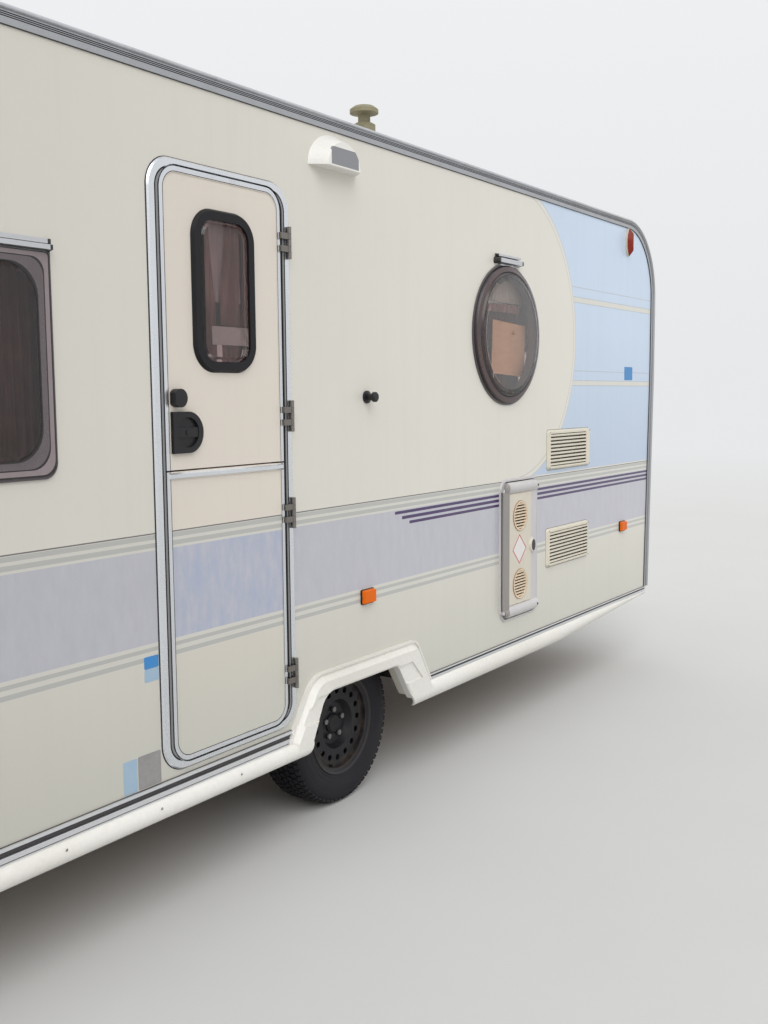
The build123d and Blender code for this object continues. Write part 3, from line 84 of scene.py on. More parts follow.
# Node helpers: a node made from sockets goes into the tree that holds them
def addNode(tree, kind, sockets=None, **settings):
    made = tree.nodes.new(kind)
    for key, value in settings.items():
        setattr(made, key, value)
    for key, value in (sockets or {}).items():
        if isinstance(value, bpy.types.NodeSocket):
            tree.links.new(value, made.inputs[key])
        else:
            made.inputs[key].default_value = value
    return made


def treeOf(*values):
    return next(value.id_data for value in values if isinstance(value, bpy.types.NodeSocket))


def calc(operation, *values):
    sockets = dict(enumerate(values))
    return addNode(treeOf(*values), "ShaderNodeMath", sockets, operation=operation).outputs[0]


def minus(a, b):
    return calc("SUBTRACT", a, b)


def both(first, *others):
    for other in others:
        first = calc("MULTIPLY", first, other)
    return first


def either(first, *others):
    for other in others:
        first = calc("MAXIMUM", first, other)
    return first


def above(value, low):
    return calc("GREATER_THAN", value, low)


def below(value, high):
    return calc("LESS_THAN", value, high)


def between(value, low, high):
    return calc("COMPARE", value, (low + high) / 2, (high - low) / 2)


def away(value, centre=0.0):
    return calc("ABSOLUTE", minus(value, centre))


def blend(a, share, b, rest):
    return calc("MULTIPLY_ADD", a, share, both(b, rest))


def reach(across, rise):
    return calc("SQRT", blend(across, across, rise, rise))


def ramp(value, low, high, toLow=0.0, toHigh=1.0):
    sockets = {0: value, 1: low, 2: high, 3: toLow, 4: toHigh}
    return addNode(treeOf(value), "ShaderNodeMapRange", sockets, clamp=True).outputs[0]


def rgba(color):
    return color if isinstance(color, bpy.types.NodeSocket) else (*color[:3], 1.0)


def mixColor(factor, a, b, how="MIX"):
    sockets = {0: factor, 6: rgba(a), 7: rgba(b)}
    made = addNode(treeOf(factor, a, b), "ShaderNodeMix", sockets, data_type="RGBA", blend_type=how)
    return made.outputs[2]


def mixNumber(factor, a, b):
    return addNode(treeOf(factor), "ShaderNodeMix", {0: factor, 2: a, 3: b}, data_type="FLOAT").outputs[0]


def objectPlace(tree, stretch=(1, 1, 1)):
    place = addNode(tree, "ShaderNodeTexCoord").outputs["Object"]
    if tuple(stretch) == (1, 1, 1):
        return place
    return addNode(tree, "ShaderNodeMapping", {0: place, 3: stretch}).outputs[0]


def axes(tree):
    return addNode(tree, "ShaderNodeSeparateXYZ", {0: objectPlace(tree)}).outputs


def noise(tree, scale, stretch=(1, 1, 1), detail=3.0, rough=0.55):
    sockets = {"Vector": objectPlace(tree, stretch), "Scale": scale, "Detail": detail, "Roughness": rough}
    return addNode(tree, "ShaderNodeTexNoise", sockets).outputs[0]


def patchy(tree, low, high, scale, *grain):
    # noise stretched to run from nothing at its low value to full at its high one
    return ramp(noise(tree, scale, *grain), low, high)


def roundDistance(x, z, centre, half, radius):
    # depth inside a rectangle with round corners, positive within
    across = minus(away(x, centre[0]), half[0] - radius)
    rise = minus(away(z, centre[1]), half[1] - radius)
    inside = calc("MINIMUM", either(across, rise), 0.0)
    corner = reach(either(across, 0.0), either(rise, 0.0))
    return minus(radius, calc("ADD", corner, inside))


def boxDistance(x, z, box, radius):
    x0, z0, x1, z1 = box
    return roundDistance(x, z, ((x0 + x1) / 2, (z0 + z1) / 2), ((x1 - x0) / 2, (z1 - z0) / 2), radius)


def newFinish(name, **sockets):
    material = bpy.data.materials.new(name)
    material.use_nodes = True
    tree = material.node_tree
    shader = tree.nodes["Principled BSDF"]
    for key, value in sockets.items():
        shader.inputs[key.replace("_", " ")].default_value = value
    return material, tree, shader


def feed(shader, **sockets):
    for key, value in sockets.items():
        shader.id_data.links.new(value, shader.inputs[key.replace("_", " ")])


def addBump(shader, height, depth, strength=1.0):
    sockets = {"Height": height, "Distance": depth, "Strength": strength}
    feed(shader, Normal=addNode(shader.id_data, "ShaderNodeBump", sockets).outputs[0])


# Plain finishes: tone, second tone, scale of its patches and of the grain, least and most roughness,
# scale and depth of the bumps, then metal, gloss and stretch where they differ
labelSurface = (20.0, 120, (0.35, 0.5), (600, 0.00005))
plainTexture = {  # where patches and grain begin and are full, detail and roughness of the grain, shares
    "patches": (0.38, 0.66), "grain": (0.30, 0.75), "grainNoise": (5.0, 0.6), "bumpDetail": 2.0,
    "grainShare": 0.45, "patchShare": 0.55,
}
finishes = {
    "whiteMoulding": ((0.80, 0.785, 0.745), (0.67, 0.65, 0.595), 1.6, 60, (0.30, 0.46), (220, 0.0002)),
    "brightMetal": ((0.66, 0.67, 0.69), (0.50, 0.51, 0.53), 3.0, 260, (0.20, 0.36), (340, 0.00003), 1.0),
    "galvanised": ((0.42, 0.43, 0.44), (0.27, 0.275, 0.28), 9.0, 35, (0.42, 0.62), (90, 0.0002), 0.85),
    "blackSteel": ((0.017, 0.017, 0.020), (0.040, 0.034, 0.030), 6.0, 40, (0.38, 0.6), (160, 0.0002)),
    "blackPlastic": ((0.008, 0.008, 0.010), (0.016, 0.016, 0.018), 8.0, 90, (0.30, 0.5), (500, 0.0001),
                     0.0, 0.35),
    "greyPlastic": ((0.30, 0.29, 0.29), (0.22, 0.21, 0.205), 5.0, 70, (0.36, 0.52), (400, 0.0001)),
    "greyCap": ((0.56, 0.54, 0.55), (0.46, 0.44, 0.45), 6.0, 70, (0.34, 0.5), (400, 0.0001)),
    "blackRubber": ((0.006, 0.006, 0.008), (0.013, 0.012, 0.014), 12.0, 60, (0.45, 0.66), (260, 0.0002),
                    0.0, 0.25),
    "underSeal": ((0.030, 0.029, 0.028), (0.055, 0.050, 0.045), 4.0, 50, (0.6, 0.85), (70, 0.0008)),
    "roofSheet": ((0.72, 0.71, 0.67), (0.60, 0.59, 0.54), 0.8, 30, (0.34, 0.5), (6, 0.0006)),
    "plywood": ((0.36, 0.25, 0.15), (0.26, 0.17, 0.10), 2.5, 24, (0.6, 0.8), (140, 0.0003),
                0.0, 0.5, (1, 9, 1)),
    "lightWood": ((0.46, 0.31, 0.18), (0.34, 0.21, 0.11), 3.0, 18, (0.35, 0.5), (120, 0.0001),
                  0.0, 0.5, (7, 7, 0.8)),
    "worktop": ((0.34, 0.32, 0.30), (0.22, 0.20, 0.19), 30.0, 160, (0.25, 0.4), (300, 0.00005)),
    "agedCream": ((0.30, 0.27, 0.17), (0.16, 0.145, 0.085), 14.0, 60, (0.5, 0.7), (200, 0.0003)),
    "windowTrim": ((0.270, 0.222, 0.230), (0.205, 0.168, 0.174), 5.0, 60, (0.24, 0.40), (300, 0.0001)),
    "windowTrimDark": ((0.135, 0.112, 0.118), (0.098, 0.080, 0.086), 5.0, 60, (0.2, 0.36), (300, 0.0001)),
    "portTrim": ((0.090, 0.060, 0.060), (0.066, 0.044, 0.046), 5.0, 60, (0.24, 0.40), (300, 0.0001),
                 0.0, 0.4),
    "portTrimDark": ((0.050, 0.035, 0.036), (0.034, 0.024, 0.026), 5.0, 60, (0.2, 0.36), (300, 0.0001)),
    "windowLine": ((0.012, 0.010, 0.012), (0.022, 0.018, 0.020), 5.0, 60, (0.3, 0.5), (300, 0.0001)),
    "tyreRubber": ((0.009, 0.009, 0.013), (0.022, 0.020, 0.022), 7.0, 90, (0.55, 0.80), (380, 0.0003),
                   0.0, 0.25),
    "screwSteel": ((0.46, 0.45, 0.44), (0.22, 0.19, 0.16), 40.0, 300, (0.3, 0.55), (500, 0.00005), 0.9),
    "darkScrew": ((0.060, 0.055, 0.055), (0.10, 0.085, 0.07), 40.0, 300, (0.35, 0.6), (500, 0.00005), 0.6),
    "cardboard": ((0.88, 0.50, 0.29), (0.78, 0.42, 0.23), 8.0, 60, (0.7, 0.9), (180, 0.0003),
                  0.0, 0.5, (1, 1, 8)),
    "paleLabel": ((0.86, 0.85, 0.84), (0.74, 0.72, 0.71), *labelSurface),
    "redLabel": ((0.42, 0.055, 0.060), (0.33, 0.045, 0.05), *labelSurface),
    "blueLabel": ((0.035, 0.225, 0.560), (0.050, 0.24, 0.50), *labelSurface),
    "paleBlueLabel": ((0.30, 0.44, 0.58), (0.36, 0.46, 0.55), *labelSurface),
}


def plainFinish(name, tone, other, patch, grain, rough, bump, metal=0.0, gloss=0.5, stretch=(1, 1, 1)):
    material, tree, shader = newFinish(name, Metallic=metal, Specular_IOR_Level=gloss)
    t = plainTexture
    patches = patchy(tree, *t["patches"], patch, stretch)
    grit = patchy(tree, *t["grain"], grain, stretch, *t["grainNoise"])
    shade = blend(grit, t["grainShare"], patches, t["patchShare"])
    feed(shader, Base_Color=mixColor(shade, tone, other), Roughness=mixNumber(shade, *rough))
    addBump(shader, noise(tree, bump[0], stretch, t["bumpDetail"]), bump[1])
    return material


finish = {name: plainFinish(name, *row) for name, row in finishes.items()}

# Stripes along the sides, heights in metres, what the road leaves on the paint, and painted shade towards the
# rear with painted light towards the front
belt = {
    "cream": (0.700, 0.676, 0.612), "low": (0.590, 0.582, 0.520), "warm": (0.728, 0.668, 0.592),
    "lowFade": (1.15, 0.50),
    "lilac": (0.475, 0.475, 0.530), "lilacPale": (0.515, 0.515, 0.57), "doorBlue": (0.395, 0.440, 0.570),
    "pinGrey": (0.470, 0.470, 0.450), "pinCream": (0.64, 0.63, 0.58), "line": (0.16, 0.15, 0.15),
    "top": 1.200, "lineWidth": 0.004, "bandHigh": 1.148, "bandLow": 0.870, "bottom": 0.815,
    "pins": ((1.180, 1.194), (1.156, 1.170), (0.846, 0.858), (0.818, 0.832)),
    "purple": (0.050, 0.020, 0.105), "triples": ((1.131, 1.143), (1.108, 1.121), (1.086, 1.098)),
    "tripleStarts": (-0.584, -0.533, -0.478), "tripleBreak": (0.292, 0.687),
    "arcX": 0.430, "arcZ": 1.880, "arcRadius": 0.702, "arcGap": 0.024, "arcLine": 0.005, "arcShow": 0.6,
    "ice": (0.535, 0.640, 0.785), "iceFoot": (0.470, 0.560, 0.690), "iceFade": (1.95, 1.25),
    "iceLow": 1.206, "iceBars": ((2.074, 2.098), (1.648, 1.670)),
    "iceLine": (0.40, 0.41, 0.41), "iceBarEdge": 0.004, "iceBarTwin": 0.050, "iceBarShow": 0.7,
    # painted shade darkens the walls towards the rear, painted light brightens them towards the front
    "paintedRearShade": (0.835, 0.83, 0.83), "paintedShadeEnds": -0.6, "paintedShadeFull": -3.3, "paintedLightFull": 2.1, "paintedLight": (1.07,) * 3,
    "film": (0.36, 0.35, 0.31), "specks": (0.30, 0.28, 0.24), "weathering": 0.11,
    "inner": (0.60, 0.55, 0.475), "innerGrime": 0.2,
    "innerY": 1.136, "innerRear": -3.459, "innerFront": 2.201, "innerLean": 0.0195, "innerTop": 1.7,
}

paintTexture = {  # where it begins and is full, scale, stretch, detail and roughness of the noise
    "mottle": (0.35, 0.70, 26.0, (1, 1, 0.35), 5.0, 0.7),
    "streaks": (0.50, 0.86, 1.0, (19, 19, 0.7), 4.0, 0.62), "streakShare": 0.55,
    "patches": (0.35, 0.72, 1.7, (1, 1, 1), 4.0), "patchShare": 0.45,
    "specks": (0.66, 0.80, 240.0, (1, 1, 1), 2.0),
    "waves": (3.2, (1, 1, 1), 1.0), "waveShare": 4.0, "ripples": (90.0, (1, 1, 1), 2.0),
    "bump": (0.0006, 0.35), "rough": (0.30, 0.48), "coat": 0.15, "coatRough": 0.12,
}


def iceField(b, color, x, z):
    # pale blue ahead of an arc, with two cream bars and thin lines beside them
    outward = reach(minus(x, b["arcX"]), minus(z, b["arcZ"]))
    front = both(above(x, b["arcX"]), above(z, b["iceLow"]))
    inIce = both(front, above(outward, b["arcRadius"]))
    color = mixColor(inIce, color, mixColor(ramp(z, *b["iceFade"]), b["ice"], b["iceFoot"]))
    for low, high in b["iceBars"]:
        color = mixColor(both(inIce, between(z, low, high)), color, b["pinCream"])
        for foot in (low - b["iceBarEdge"], high, high + b["iceBarTwin"]):
            edge = both(inIce, between(z, foot, foot + b["iceBarEdge"]))
            color = mixColor(both(edge, b["iceBarShow"]), color, b["iceLine"])
    for radius in (b["arcRadius"], b["arcRadius"] - b["arcGap"]):
        ring = both(front, between(outward, radius - b["arcLine"], radius))
        color = mixColor(both(ring, b["arcShow"]), color, b["iceLine"])
    return color


def striped(b, ground, band, x, z, ahead):
    color = mixColor(ramp(z, *b["lowFade"]), ground, b["low"])
    if ahead:
        color = iceField(b, color, x, z)
    color = mixColor(between(z, b["bottom"], b["top"]), color, b["pinCream"])
    for low, high in b["pins"]:
        color = mixColor(between(z, low, high), color, b["pinGrey"])
    color = mixColor(between(z, b["bandLow"], b["bandHigh"]), color, band)
    color = mixColor(between(z, b["top"] - b["lineWidth"], b["top"]), color, b["line"])
    # painted shade towards the rear and painted light towards the front, multiplied into the paint
    paintedRearShade = mixColor(ramp(x, b["paintedShadeFull"], b["paintedShadeEnds"], 1.0, 0.0), (1, 1, 1), b["paintedRearShade"])
    paintedLight = mixColor(ramp(x, b["paintedShadeEnds"], b["paintedLightFull"]), paintedRearShade, b["paintedLight"])
    return mixColor(1.0, color, paintedLight, "MULTIPLY")


# Walls carry the recesses behind the vents, painted dark as shade, the door its metal edge, straps and split
# bar
doorLook = {
    "centre": (-1.5565, 1.378), "half": (0.2765, 0.903), "radius": 0.070,
    "frameHalf": (0.3265, 0.928), "frameRadius": 0.095,
    "frameGap": 0.003, "frameGrooveShade": (0.029, 0.034), "frameBead": (0.034, 0.042),
    "lap": 0.01, "trim": 0.014, "line": 0.0025,
    "split": (1.3515, 1.3805), "splitY": -1.1575, "strapX": -1.290, "strapY": -1.158, "hingeY": -1.1595,
    "metal": (0.76, 0.785, 0.82), "metalRough": 0.27, "dark": (0.014, 0.013, 0.015),
    "grey": (0.25, 0.25, 0.26), "hinge": (0.215, 0.195, 0.180), "grime": (0.15, 0.12, 0.10),
    "grimeShow": 0.25,
}
ventLook = {
    "boxes": ((0.794, 1.225, 1.302, 1.423), (0.790, 0.734, 1.295, 0.928)), "corner": 0.012,
    "edge": (-0.004, 0.004), "hollowFrom": 0.006, "bladesFrom": 0.018,  # depths inside a box
    "hollowY": -1.1492, "deepFrom": -1.1628, "deepTo": -1.1596,
    "ground": (0.70, 0.655, 0.54), "hollow": (0.050, 0.038, 0.028), "edgeColor": (0.20, 0.18, 0.15),
    "edgeShow": 0.75,
}


def metalEdge(depth, y, z, d):
    trim = both(below(depth, d["trim"]), above(depth, -d["lap"]))
    return either(trim, both(between(z, *d["split"]), below(y, d["splitY"])))


def weather(b, tree, color):
    t = paintTexture
    streaks, patches, specks = (patchy(tree, *t[kind]) for kind in ("streaks", "patches", "specks"))
    grime = blend(streaks, t["streakShare"], patches, t["patchShare"])
    color = mixColor(both(grime, b["weathering"]), color, b["film"])
    return mixColor(both(specks, b["weathering"]), color, b["specks"]), grime


def indoors(b, x, y, z, atEnd):
    # the half of a wall's thickness that faces the cabin
    if not atEnd:
        return below(away(y), b["innerY"])
    front = below(calc("MULTIPLY_ADD", z, -b["innerLean"], x), b["innerFront"])
    return both(above(x, b["innerRear"]), front, below(z, b["innerTop"]))


def wallPaint(name, ground, band, ahead=False, triples=False, vents=None, door=None, atEnd=False):
    b, t = belt, paintTexture
    material, tree, shader = newFinish(name, Coat_Weight=t["coat"], Coat_Roughness=t["coatRough"])
    x, y, z = axes(tree)
    mottle = patchy(tree, *t["mottle"])
    color = striped(b, ground, mixColor(mottle, band, b["lilacPale"]), x, z, ahead)
    if triples:
        beyond = above(x, b["tripleBreak"][1])
        for (low, high), start in zip(b["triples"], b["tripleStarts"]):
            run = either(between(x, start, b["tripleBreak"][0]), beyond)
            color = mixColor(both(run, between(z, low, high)), color, b["purple"])
    color, grime = weather(b, tree, color)
    rough = mixNumber(grime, *t["rough"])
    inner = indoors(b, x, y, z, atEnd)
    if vents:
        for box in vents["boxes"]:
            depth = boxDistance(x, z, box, vents["corner"])
            edge = both(between(depth, *vents["edge"]), vents["edgeShow"])
            color = mixColor(edge, color, vents["edgeColor"])
            # painted shade in the recesses behind the vents
            hollow = both(above(depth, vents["hollowFrom"]), above(y, vents["hollowY"]))
            color = mixColor(hollow, color, vents["hollow"])
    if door:
        depth = roundDistance(x, z, door["centre"], door["half"], door["radius"])
        color = mixColor(between(depth, door["trim"], door["trim"] + door["line"]), color, door["dark"])
        edge = metalEdge(depth, y, z, door)
        soiled = mixColor(both(grime, door["grimeShow"]), door["metal"], door["grime"])
        color = mixColor(edge, color, soiled)
        strap = both(above(x, door["strapX"]), below(y, door["strapY"]))
        color = mixColor(strap, color, door["hinge"])
        edge = both(either(edge, strap), minus(1.0, inner))
        rough = mixNumber(edge, rough, door["metalRough"])
        feed(shader, Metallic=edge)
    color = mixColor(inner, color, mixColor(both(grime, b["innerGrime"]), b["inner"], b["low"]))
    feed(shader, Base_Color=color, Roughness=rough)
    waves = calc("MULTIPLY_ADD", noise(tree, *t["waves"]), t["waveShare"], noise(tree, *t["ripples"]))
    addBump(shader, waves, *t["bump"])
    return material


finish["wallRight"] = wallPaint("wallRight", belt["cream"], belt["lilac"], True, True, ventLook)
finish["wallLeft"] = wallPaint("wallLeft", belt["cream"], belt["lilac"], True, True)
finish["wallEnd"] = wallPaint("wallEnd", belt["cream"], belt["lilac"], atEnd=True)
finish["doorLeaf"] = wallPaint("doorLeaf", belt["warm"], belt["doorBlue"], door=doorLook)


# Pieces whose parts differ: each layer is a mask with its tone, metal and roughness
fineBump = (300, 0.00008)
trimTexture = {
    "patches": (0.38, 0.72, 9.0, (1, 1, 0.5), 5.0, 0.65), "grain": (0.30, 0.70, 150.0),
    "bumpDetail": 2.0, "grime": (0.20, 0.18, 0.155), "grimeRough": 0.14,
}


def layeredFinish(name, color, metal, rough, makeLayers, grime, bump=fineBump, gloss=0.5):
    material, tree, shader = newFinish(name, Specular_IOR_Level=gloss)
    for mask, tone, metallic, roughness in makeLayers(*axes(tree)):
        color = mixColor(mask, color, tone)
        metal = mixNumber(mask, metal, metallic)
        rough = mixNumber(mask, rough, roughness)
    t = trimTexture
    shade = both(patchy(tree, *t["patches"]), patchy(tree, *t["grain"]))
    color = mixColor(both(shade, grime), color, t["grime"])
    rough = calc("MULTIPLY_ADD", shade, t["grimeRough"], rough)
    feed(shader, Base_Color=color, Metallic=metal, Roughness=rough)
    addBump(shader, noise(tree, bump[0], (1, 1, 1), t["bumpDetail"]), bump[1])
    return material


def doorFrameLayers(x, y, z):
    d = doorLook
    depth = roundDistance(x, z, d["centre"], d["frameHalf"], d["frameRadius"])
    return [
        (below(depth, d["frameGap"]), d["dark"], 0.0, 0.6),
        # painted shade in the frame's groove
        (between(depth, *d["frameGrooveShade"]), d["dark"], 0.0, 0.5),
        (between(depth, *d["frameBead"]), d["grey"], 0.6, 0.35),
        (above(depth, d["frameBead"][1]), d["dark"], 0.0, 0.6),
        (below(y, d["hingeY"]), d["hinge"], 0.8, 0.36),
    ]


railLook = {
    "metal": (0.42, 0.43, 0.45), "groove": (0.030, 0.029, 0.030), "bead": (0.56, 0.575, 0.60),
    "grooveY": (1.1502, 1.1555), "beadFrom": 1.1622,
    "strip": (0.80, 0.81, 0.84), "stripDark": (0.055, 0.053, 0.055), "stripFrom": 1.1572,
}


# Edge rail: painted shade in its grooves and a painted highlight on its outermost bead
def edgeRailLayers(x, y, z):
    return [(between(away(y), *railLook["grooveY"]), railLook["groove"], 0.0, 0.6),
            (above(away(y), railLook["beadFrom"]), railLook["bead"], 1.0, 0.30)]


def sillStripLayers(x, y, z):
    return [(above(away(y), railLook["stripFrom"]), railLook["strip"], 1.0, 0.30)]


windowLook = {
    "frame": (0.090, 0.075, 0.080), "rail": (0.60, 0.61, 0.63), "cap": (0.020, 0.018, 0.020),
    "sideY": 1.1505, "rearX": -3.4755, "frontX": 2.0, "frontHalf": 1.0,  # where each side's frames lie
    "railSide": 1.982, "railRear": 1.970, "railFront": 1.914,
    "ends": (-3.136, -2.236, -1.475, -0.755, 0.455, 1.575),  # of the side windows
    "capWidth": 0.013, "endCapsFrom": 0.612,
}


def windowFrameLayers(x, y, z):
    w = windowLook
    out = away(y)
    rail = both(above(out, w["sideY"]), above(z, w["railSide"]))
    atRear = both(below(x, w["rearX"]), above(z, w["railRear"]))
    atFront = both(above(x, w["frontX"]), below(out, w["frontHalf"]), above(z, w["railFront"]))
    caps = both(either(atRear, atFront), above(out, w["endCapsFrom"]))
    for i, end in enumerate(w["ends"]):
        inward = w["capWidth"] / 2 if i % 2 == 0 else -w["capWidth"] / 2
        caps = either(caps, both(rail, below(away(x, end + inward), w["capWidth"] / 2)))
    return [(either(rail, atRear, atFront), w["rail"], 0.95, 0.28), (caps, w["cap"], 0.0, 0.4)]


portholeLook = {"x": 0.355, "z": 1.873, "clip": 0.310, "clipEnds": 0.104}


def portholeLayers(x, y, z):
    p = portholeLook
    clip = above(z, p["z"] + p["clip"])
    ends = both(clip, above(away(x, p["x"]), p["clipEnds"]))
    return [(clip, windowLook["rail"], 0.95, 0.28), (ends, windowLook["cap"], 0.0, 0.4)]


lockerLook = {
    "panel": (0.660, 0.612, 0.520), "flange": (0.560, 0.545, 0.560), "hinge": (0.340, 0.320, 0.305),
    "roll": (0.560, 0.545, 0.545), "rollLow": 0.605, "rollHigh": 1.138, "flangeX": 0.5975,
    "hingeX": 0.353, "hingeY": -1.1605,
    "ventX": 0.4755, "ventHeights": (1.028, 0.701), "discRadius": 0.0700, "discEdgeRadius": 0.0735,
    "disc": (0.735, 0.600, 0.440), "discEdge": (0.42, 0.27, 0.16),
    # the slot colour is painted shade in the vents' openings
    "slot": (0.075, 0.042, 0.022), "slotX": (0.4005, 0.5505), "hollowY": -1.1592,
    "lock": (0.6055, 0.874), "lockHalf": (0.020, 0.028), "lockY": -1.165, "black": (0.014, 0.013, 0.015),
    "diamond": (0.470, 0.869), "diamondHalf": 0.072, "diamondEdge": 0.008,
    "paper": (0.76, 0.74, 0.72), "red": (0.50, 0.045, 0.045),
}


def lockerLidLayers(x, y, z):
    k = lockerLook
    layers = []
    for height in k["ventHeights"]:
        outward = reach(minus(x, k["ventX"]), minus(z, height))
        layers.append((below(outward, k["discEdgeRadius"]), k["discEdge"], 0.0, 0.5))
        layers.append((below(outward, k["discRadius"]), k["disc"], 0.0, 0.45))
    across, rise = (calc("DIVIDE", minus(value, middle), half)
                    for value, middle, half in zip((x, z), k["lock"], k["lockHalf"]))
    lock = both(below(reach(across, rise), 1.0), below(y, k["lockY"]))
    spread = calc("ADD", away(x, k["diamond"][0]), away(z, k["diamond"][1]))
    return layers + [
        (above(x, k["flangeX"]), k["flange"], 0.0, 0.42),
        (either(below(z, k["rollLow"]), above(z, k["rollHigh"])), k["roll"], 0.0, 0.40),
        # painted shade in the vents' slots
        (both(above(y, k["hollowY"]), between(x, *k["slotX"])), k["slot"], 0.0, 0.8),
        (both(below(x, k["hingeX"]), below(y, k["hingeY"])), k["hinge"], 0.55, 0.42),
        (below(spread, k["diamondHalf"]), k["red"], 0.0, 0.4),
        (below(spread, k["diamondHalf"] - k["diamondEdge"]), k["paper"], 0.0, 0.4),
        (lock, k["black"], 0.0, 0.35),
    ]


def fridgeVentLayers(x, y, z):
    # painted shade: the blades darken towards the back
    v = ventLook
    inside = either(*(above(boxDistance(x, z, box, v["corner"]), v["bladesFrom"]) for box in v["boxes"]))
    return [(both(inside, ramp(y, v["deepFrom"], v["deepTo"])), v["hollow"], 0.0, 0.6)]


awningLook = {
    "ground": (0.80, 0.785, 0.745), "lens": (0.235, 0.240, 0.255),
    "lensY": -1.2005, "lensX": (-1.050, -0.888), "lensZ": (2.401, 2.462),
}


def awningLayers(x, y, z):
    a = awningLook
    lens = both(below(y, a["lensY"]), between(x, *a["lensX"]), between(z, *a["lensZ"]))
    return [(lens, a["lens"], 0.0, 0.14)]


wheelLook = {
    "drum": (0.013, 0.012, 0.014), "bolt": (0.20, 0.195, 0.195), "boltReach": (0.0445, 0.0675),
    "boltY": 0.981, "rim": (0.011, 0.0105, 0.014), "dust": (0.062, 0.047, 0.038),
    "dustReach": (0.148, 0.176), "dustPatches": (0.35, 0.7, 22.0), "dustShow": 0.8,
    "edge": (0.060, 0.052, 0.050), "edgeReach": 0.186, "edgeShow": 0.5,
}


def drumLayers(x, y, z):
    # brighter bolts on the dark hub, by their distance from the wheel's axis
    w = wheelLook
    outward = reach(minus(x, axle["x"]), minus(z, axle["z"]))
    return [(both(between(outward, *w["boltReach"]), above(away(y), w["boltY"])), w["bolt"], 0.6, 0.42)]


def rimLayers(x, y, z):
    w = wheelLook
    outward = reach(minus(x, axle["x"]), minus(z, axle["z"]))
    patches = patchy(treeOf(x), *w["dustPatches"])
    dusty = both(between(outward, *w["dustReach"]), patches, w["dustShow"])
    edge = both(above(outward, w["edgeReach"]), w["edgeShow"])
    return [(dusty, w["dust"], 0.0, 0.85), (edge, w["edge"], 0.3, 0.5)]


markerLook = {
    "amber": (0.74, 0.135, 0.0), "base": (0.02, 0.02, 0.02), "baseY": 1.1572, "baseBelow": 1.0,
    "highFrom": 2.0, "cream": (0.62, 0.57, 0.46), "lensY": 1.1625, "red": (0.235, 0.030, 0.018),
    "white": (0.66, 0.66, 0.64), "whiteRear": (-3.1535, -2.9), "whiteFront": 1.8215,
}


def markerLayers(x, y, z):
    # amber side markers low down; high up a cream base with a lens red behind and white ahead
    m = markerLook
    high = above(z, m["highFrom"])
    lens = both(high, above(away(y), m["lensY"]))
    white = both(lens, either(above(x, m["whiteFront"]), between(x, *m["whiteRear"])))
    return [
        (both(below(z, m["baseBelow"]), below(away(y), m["baseY"])), m["base"], 0.0, 0.5),
        (high, m["cream"], 0.0, 0.45),
        (lens, m["red"], 0.0, 0.24),
        (white, m["white"], 0.0, 0.2),
    ]


layered = (  # name, ground's tone, metal and roughness, layers, grime, then bump and gloss where they differ
    ("doorFrame", doorLook["metal"], 1.0, 0.24, doorFrameLayers, 0.12, (120, 0.00003)),
    ("edgeRail", railLook["metal"], 1.0, 0.34, edgeRailLayers, 0.30),
    ("sillStrip", railLook["stripDark"], 0.2, 0.5, sillStripLayers, 0.15),
    ("windowFrame", windowLook["frame"], 0.0, 0.35, windowFrameLayers, 0.15),
    ("portholeFrame", windowLook["frame"], 0.0, 0.35, portholeLayers, 0.15),
    ("lockerLid", lockerLook["panel"], 0.0, 0.42, lockerLidLayers, 0.22),
    ("fridgeVents", ventLook["ground"], 0.0, 0.4, fridgeVentLayers, 0.20),
    ("awningLight", awningLook["ground"], 0.0, 0.36, awningLayers, 0.12),
    ("drumHub", wheelLook["drum"], 0.2, 0.5, drumLayers, 0.10, fineBump, 0.3),
    ("wheelRim", wheelLook["rim"], 0.1, 0.42, rimLayers, 0.09, fineBump, 0.3),
    ("markerLamps", markerLook["amber"], 0.0, 0.30, markerLayers, 0.0, fineBump, 0.15),
)
for row in layered:
    finish[row[0]] = layeredFinish(*row)

# Clear plastics: tint and roughness
clear = {
    "tintedAcrylic": ((0.40, 0.33, 0.32), 0.02), "paleAcrylic": ((0.66, 0.56, 0.55), 0.02),
    "clearAcrylic": ((0.92, 0.87, 0.85), 0.02), "smokeDome": ((0.62, 0.62, 0.60), 0.12),
}
clearHaze = {"patches": (0.35, 0.75, 2.4, (1, 1, 0.4), 4.0), "shade": 0.86, "rougher": 0.05, "bending": 1.49}


def shaded(tone, share):
    return tuple(share * part for part in tone)


def clearFinish(name, tint, rough):
    h = clearHaze
    material, tree, shader = newFinish(name, Transmission_Weight=1.0, IOR=h["bending"])
    haze = patchy(tree, *h["patches"])
    feed(shader, Base_Color=mixColor(haze, tint, shaded(tint, h["shade"])),
         Roughness=mixNumber(haze, rough, rough + h["rougher"]))
    return material


for name, (tint, rough) in clear.items():
    finish[name] = clearFinish(name, tint, rough)

# Rear lamps: a ribbed red lens with white and orange parts, by their distance from the middle
rearLampLook = {
    "red": (0.36, 0.012, 0.010), "white": (0.62, 0.62, 0.60), "orange": (0.62, 0.16, 0.01),
    "whiteY": (0.70, 0.80), "orangeY": (0.93, 1.04),
    "ribPitch": 260.0, "ribDepth": 0.0006, "groove": (0.02, 0.01, 0.01), "grooveShow": 0.35,
    "rough": (0.16, 0.34), "roughScale": 40.0, "coat": 0.25, "coatRough": 0.08,
}


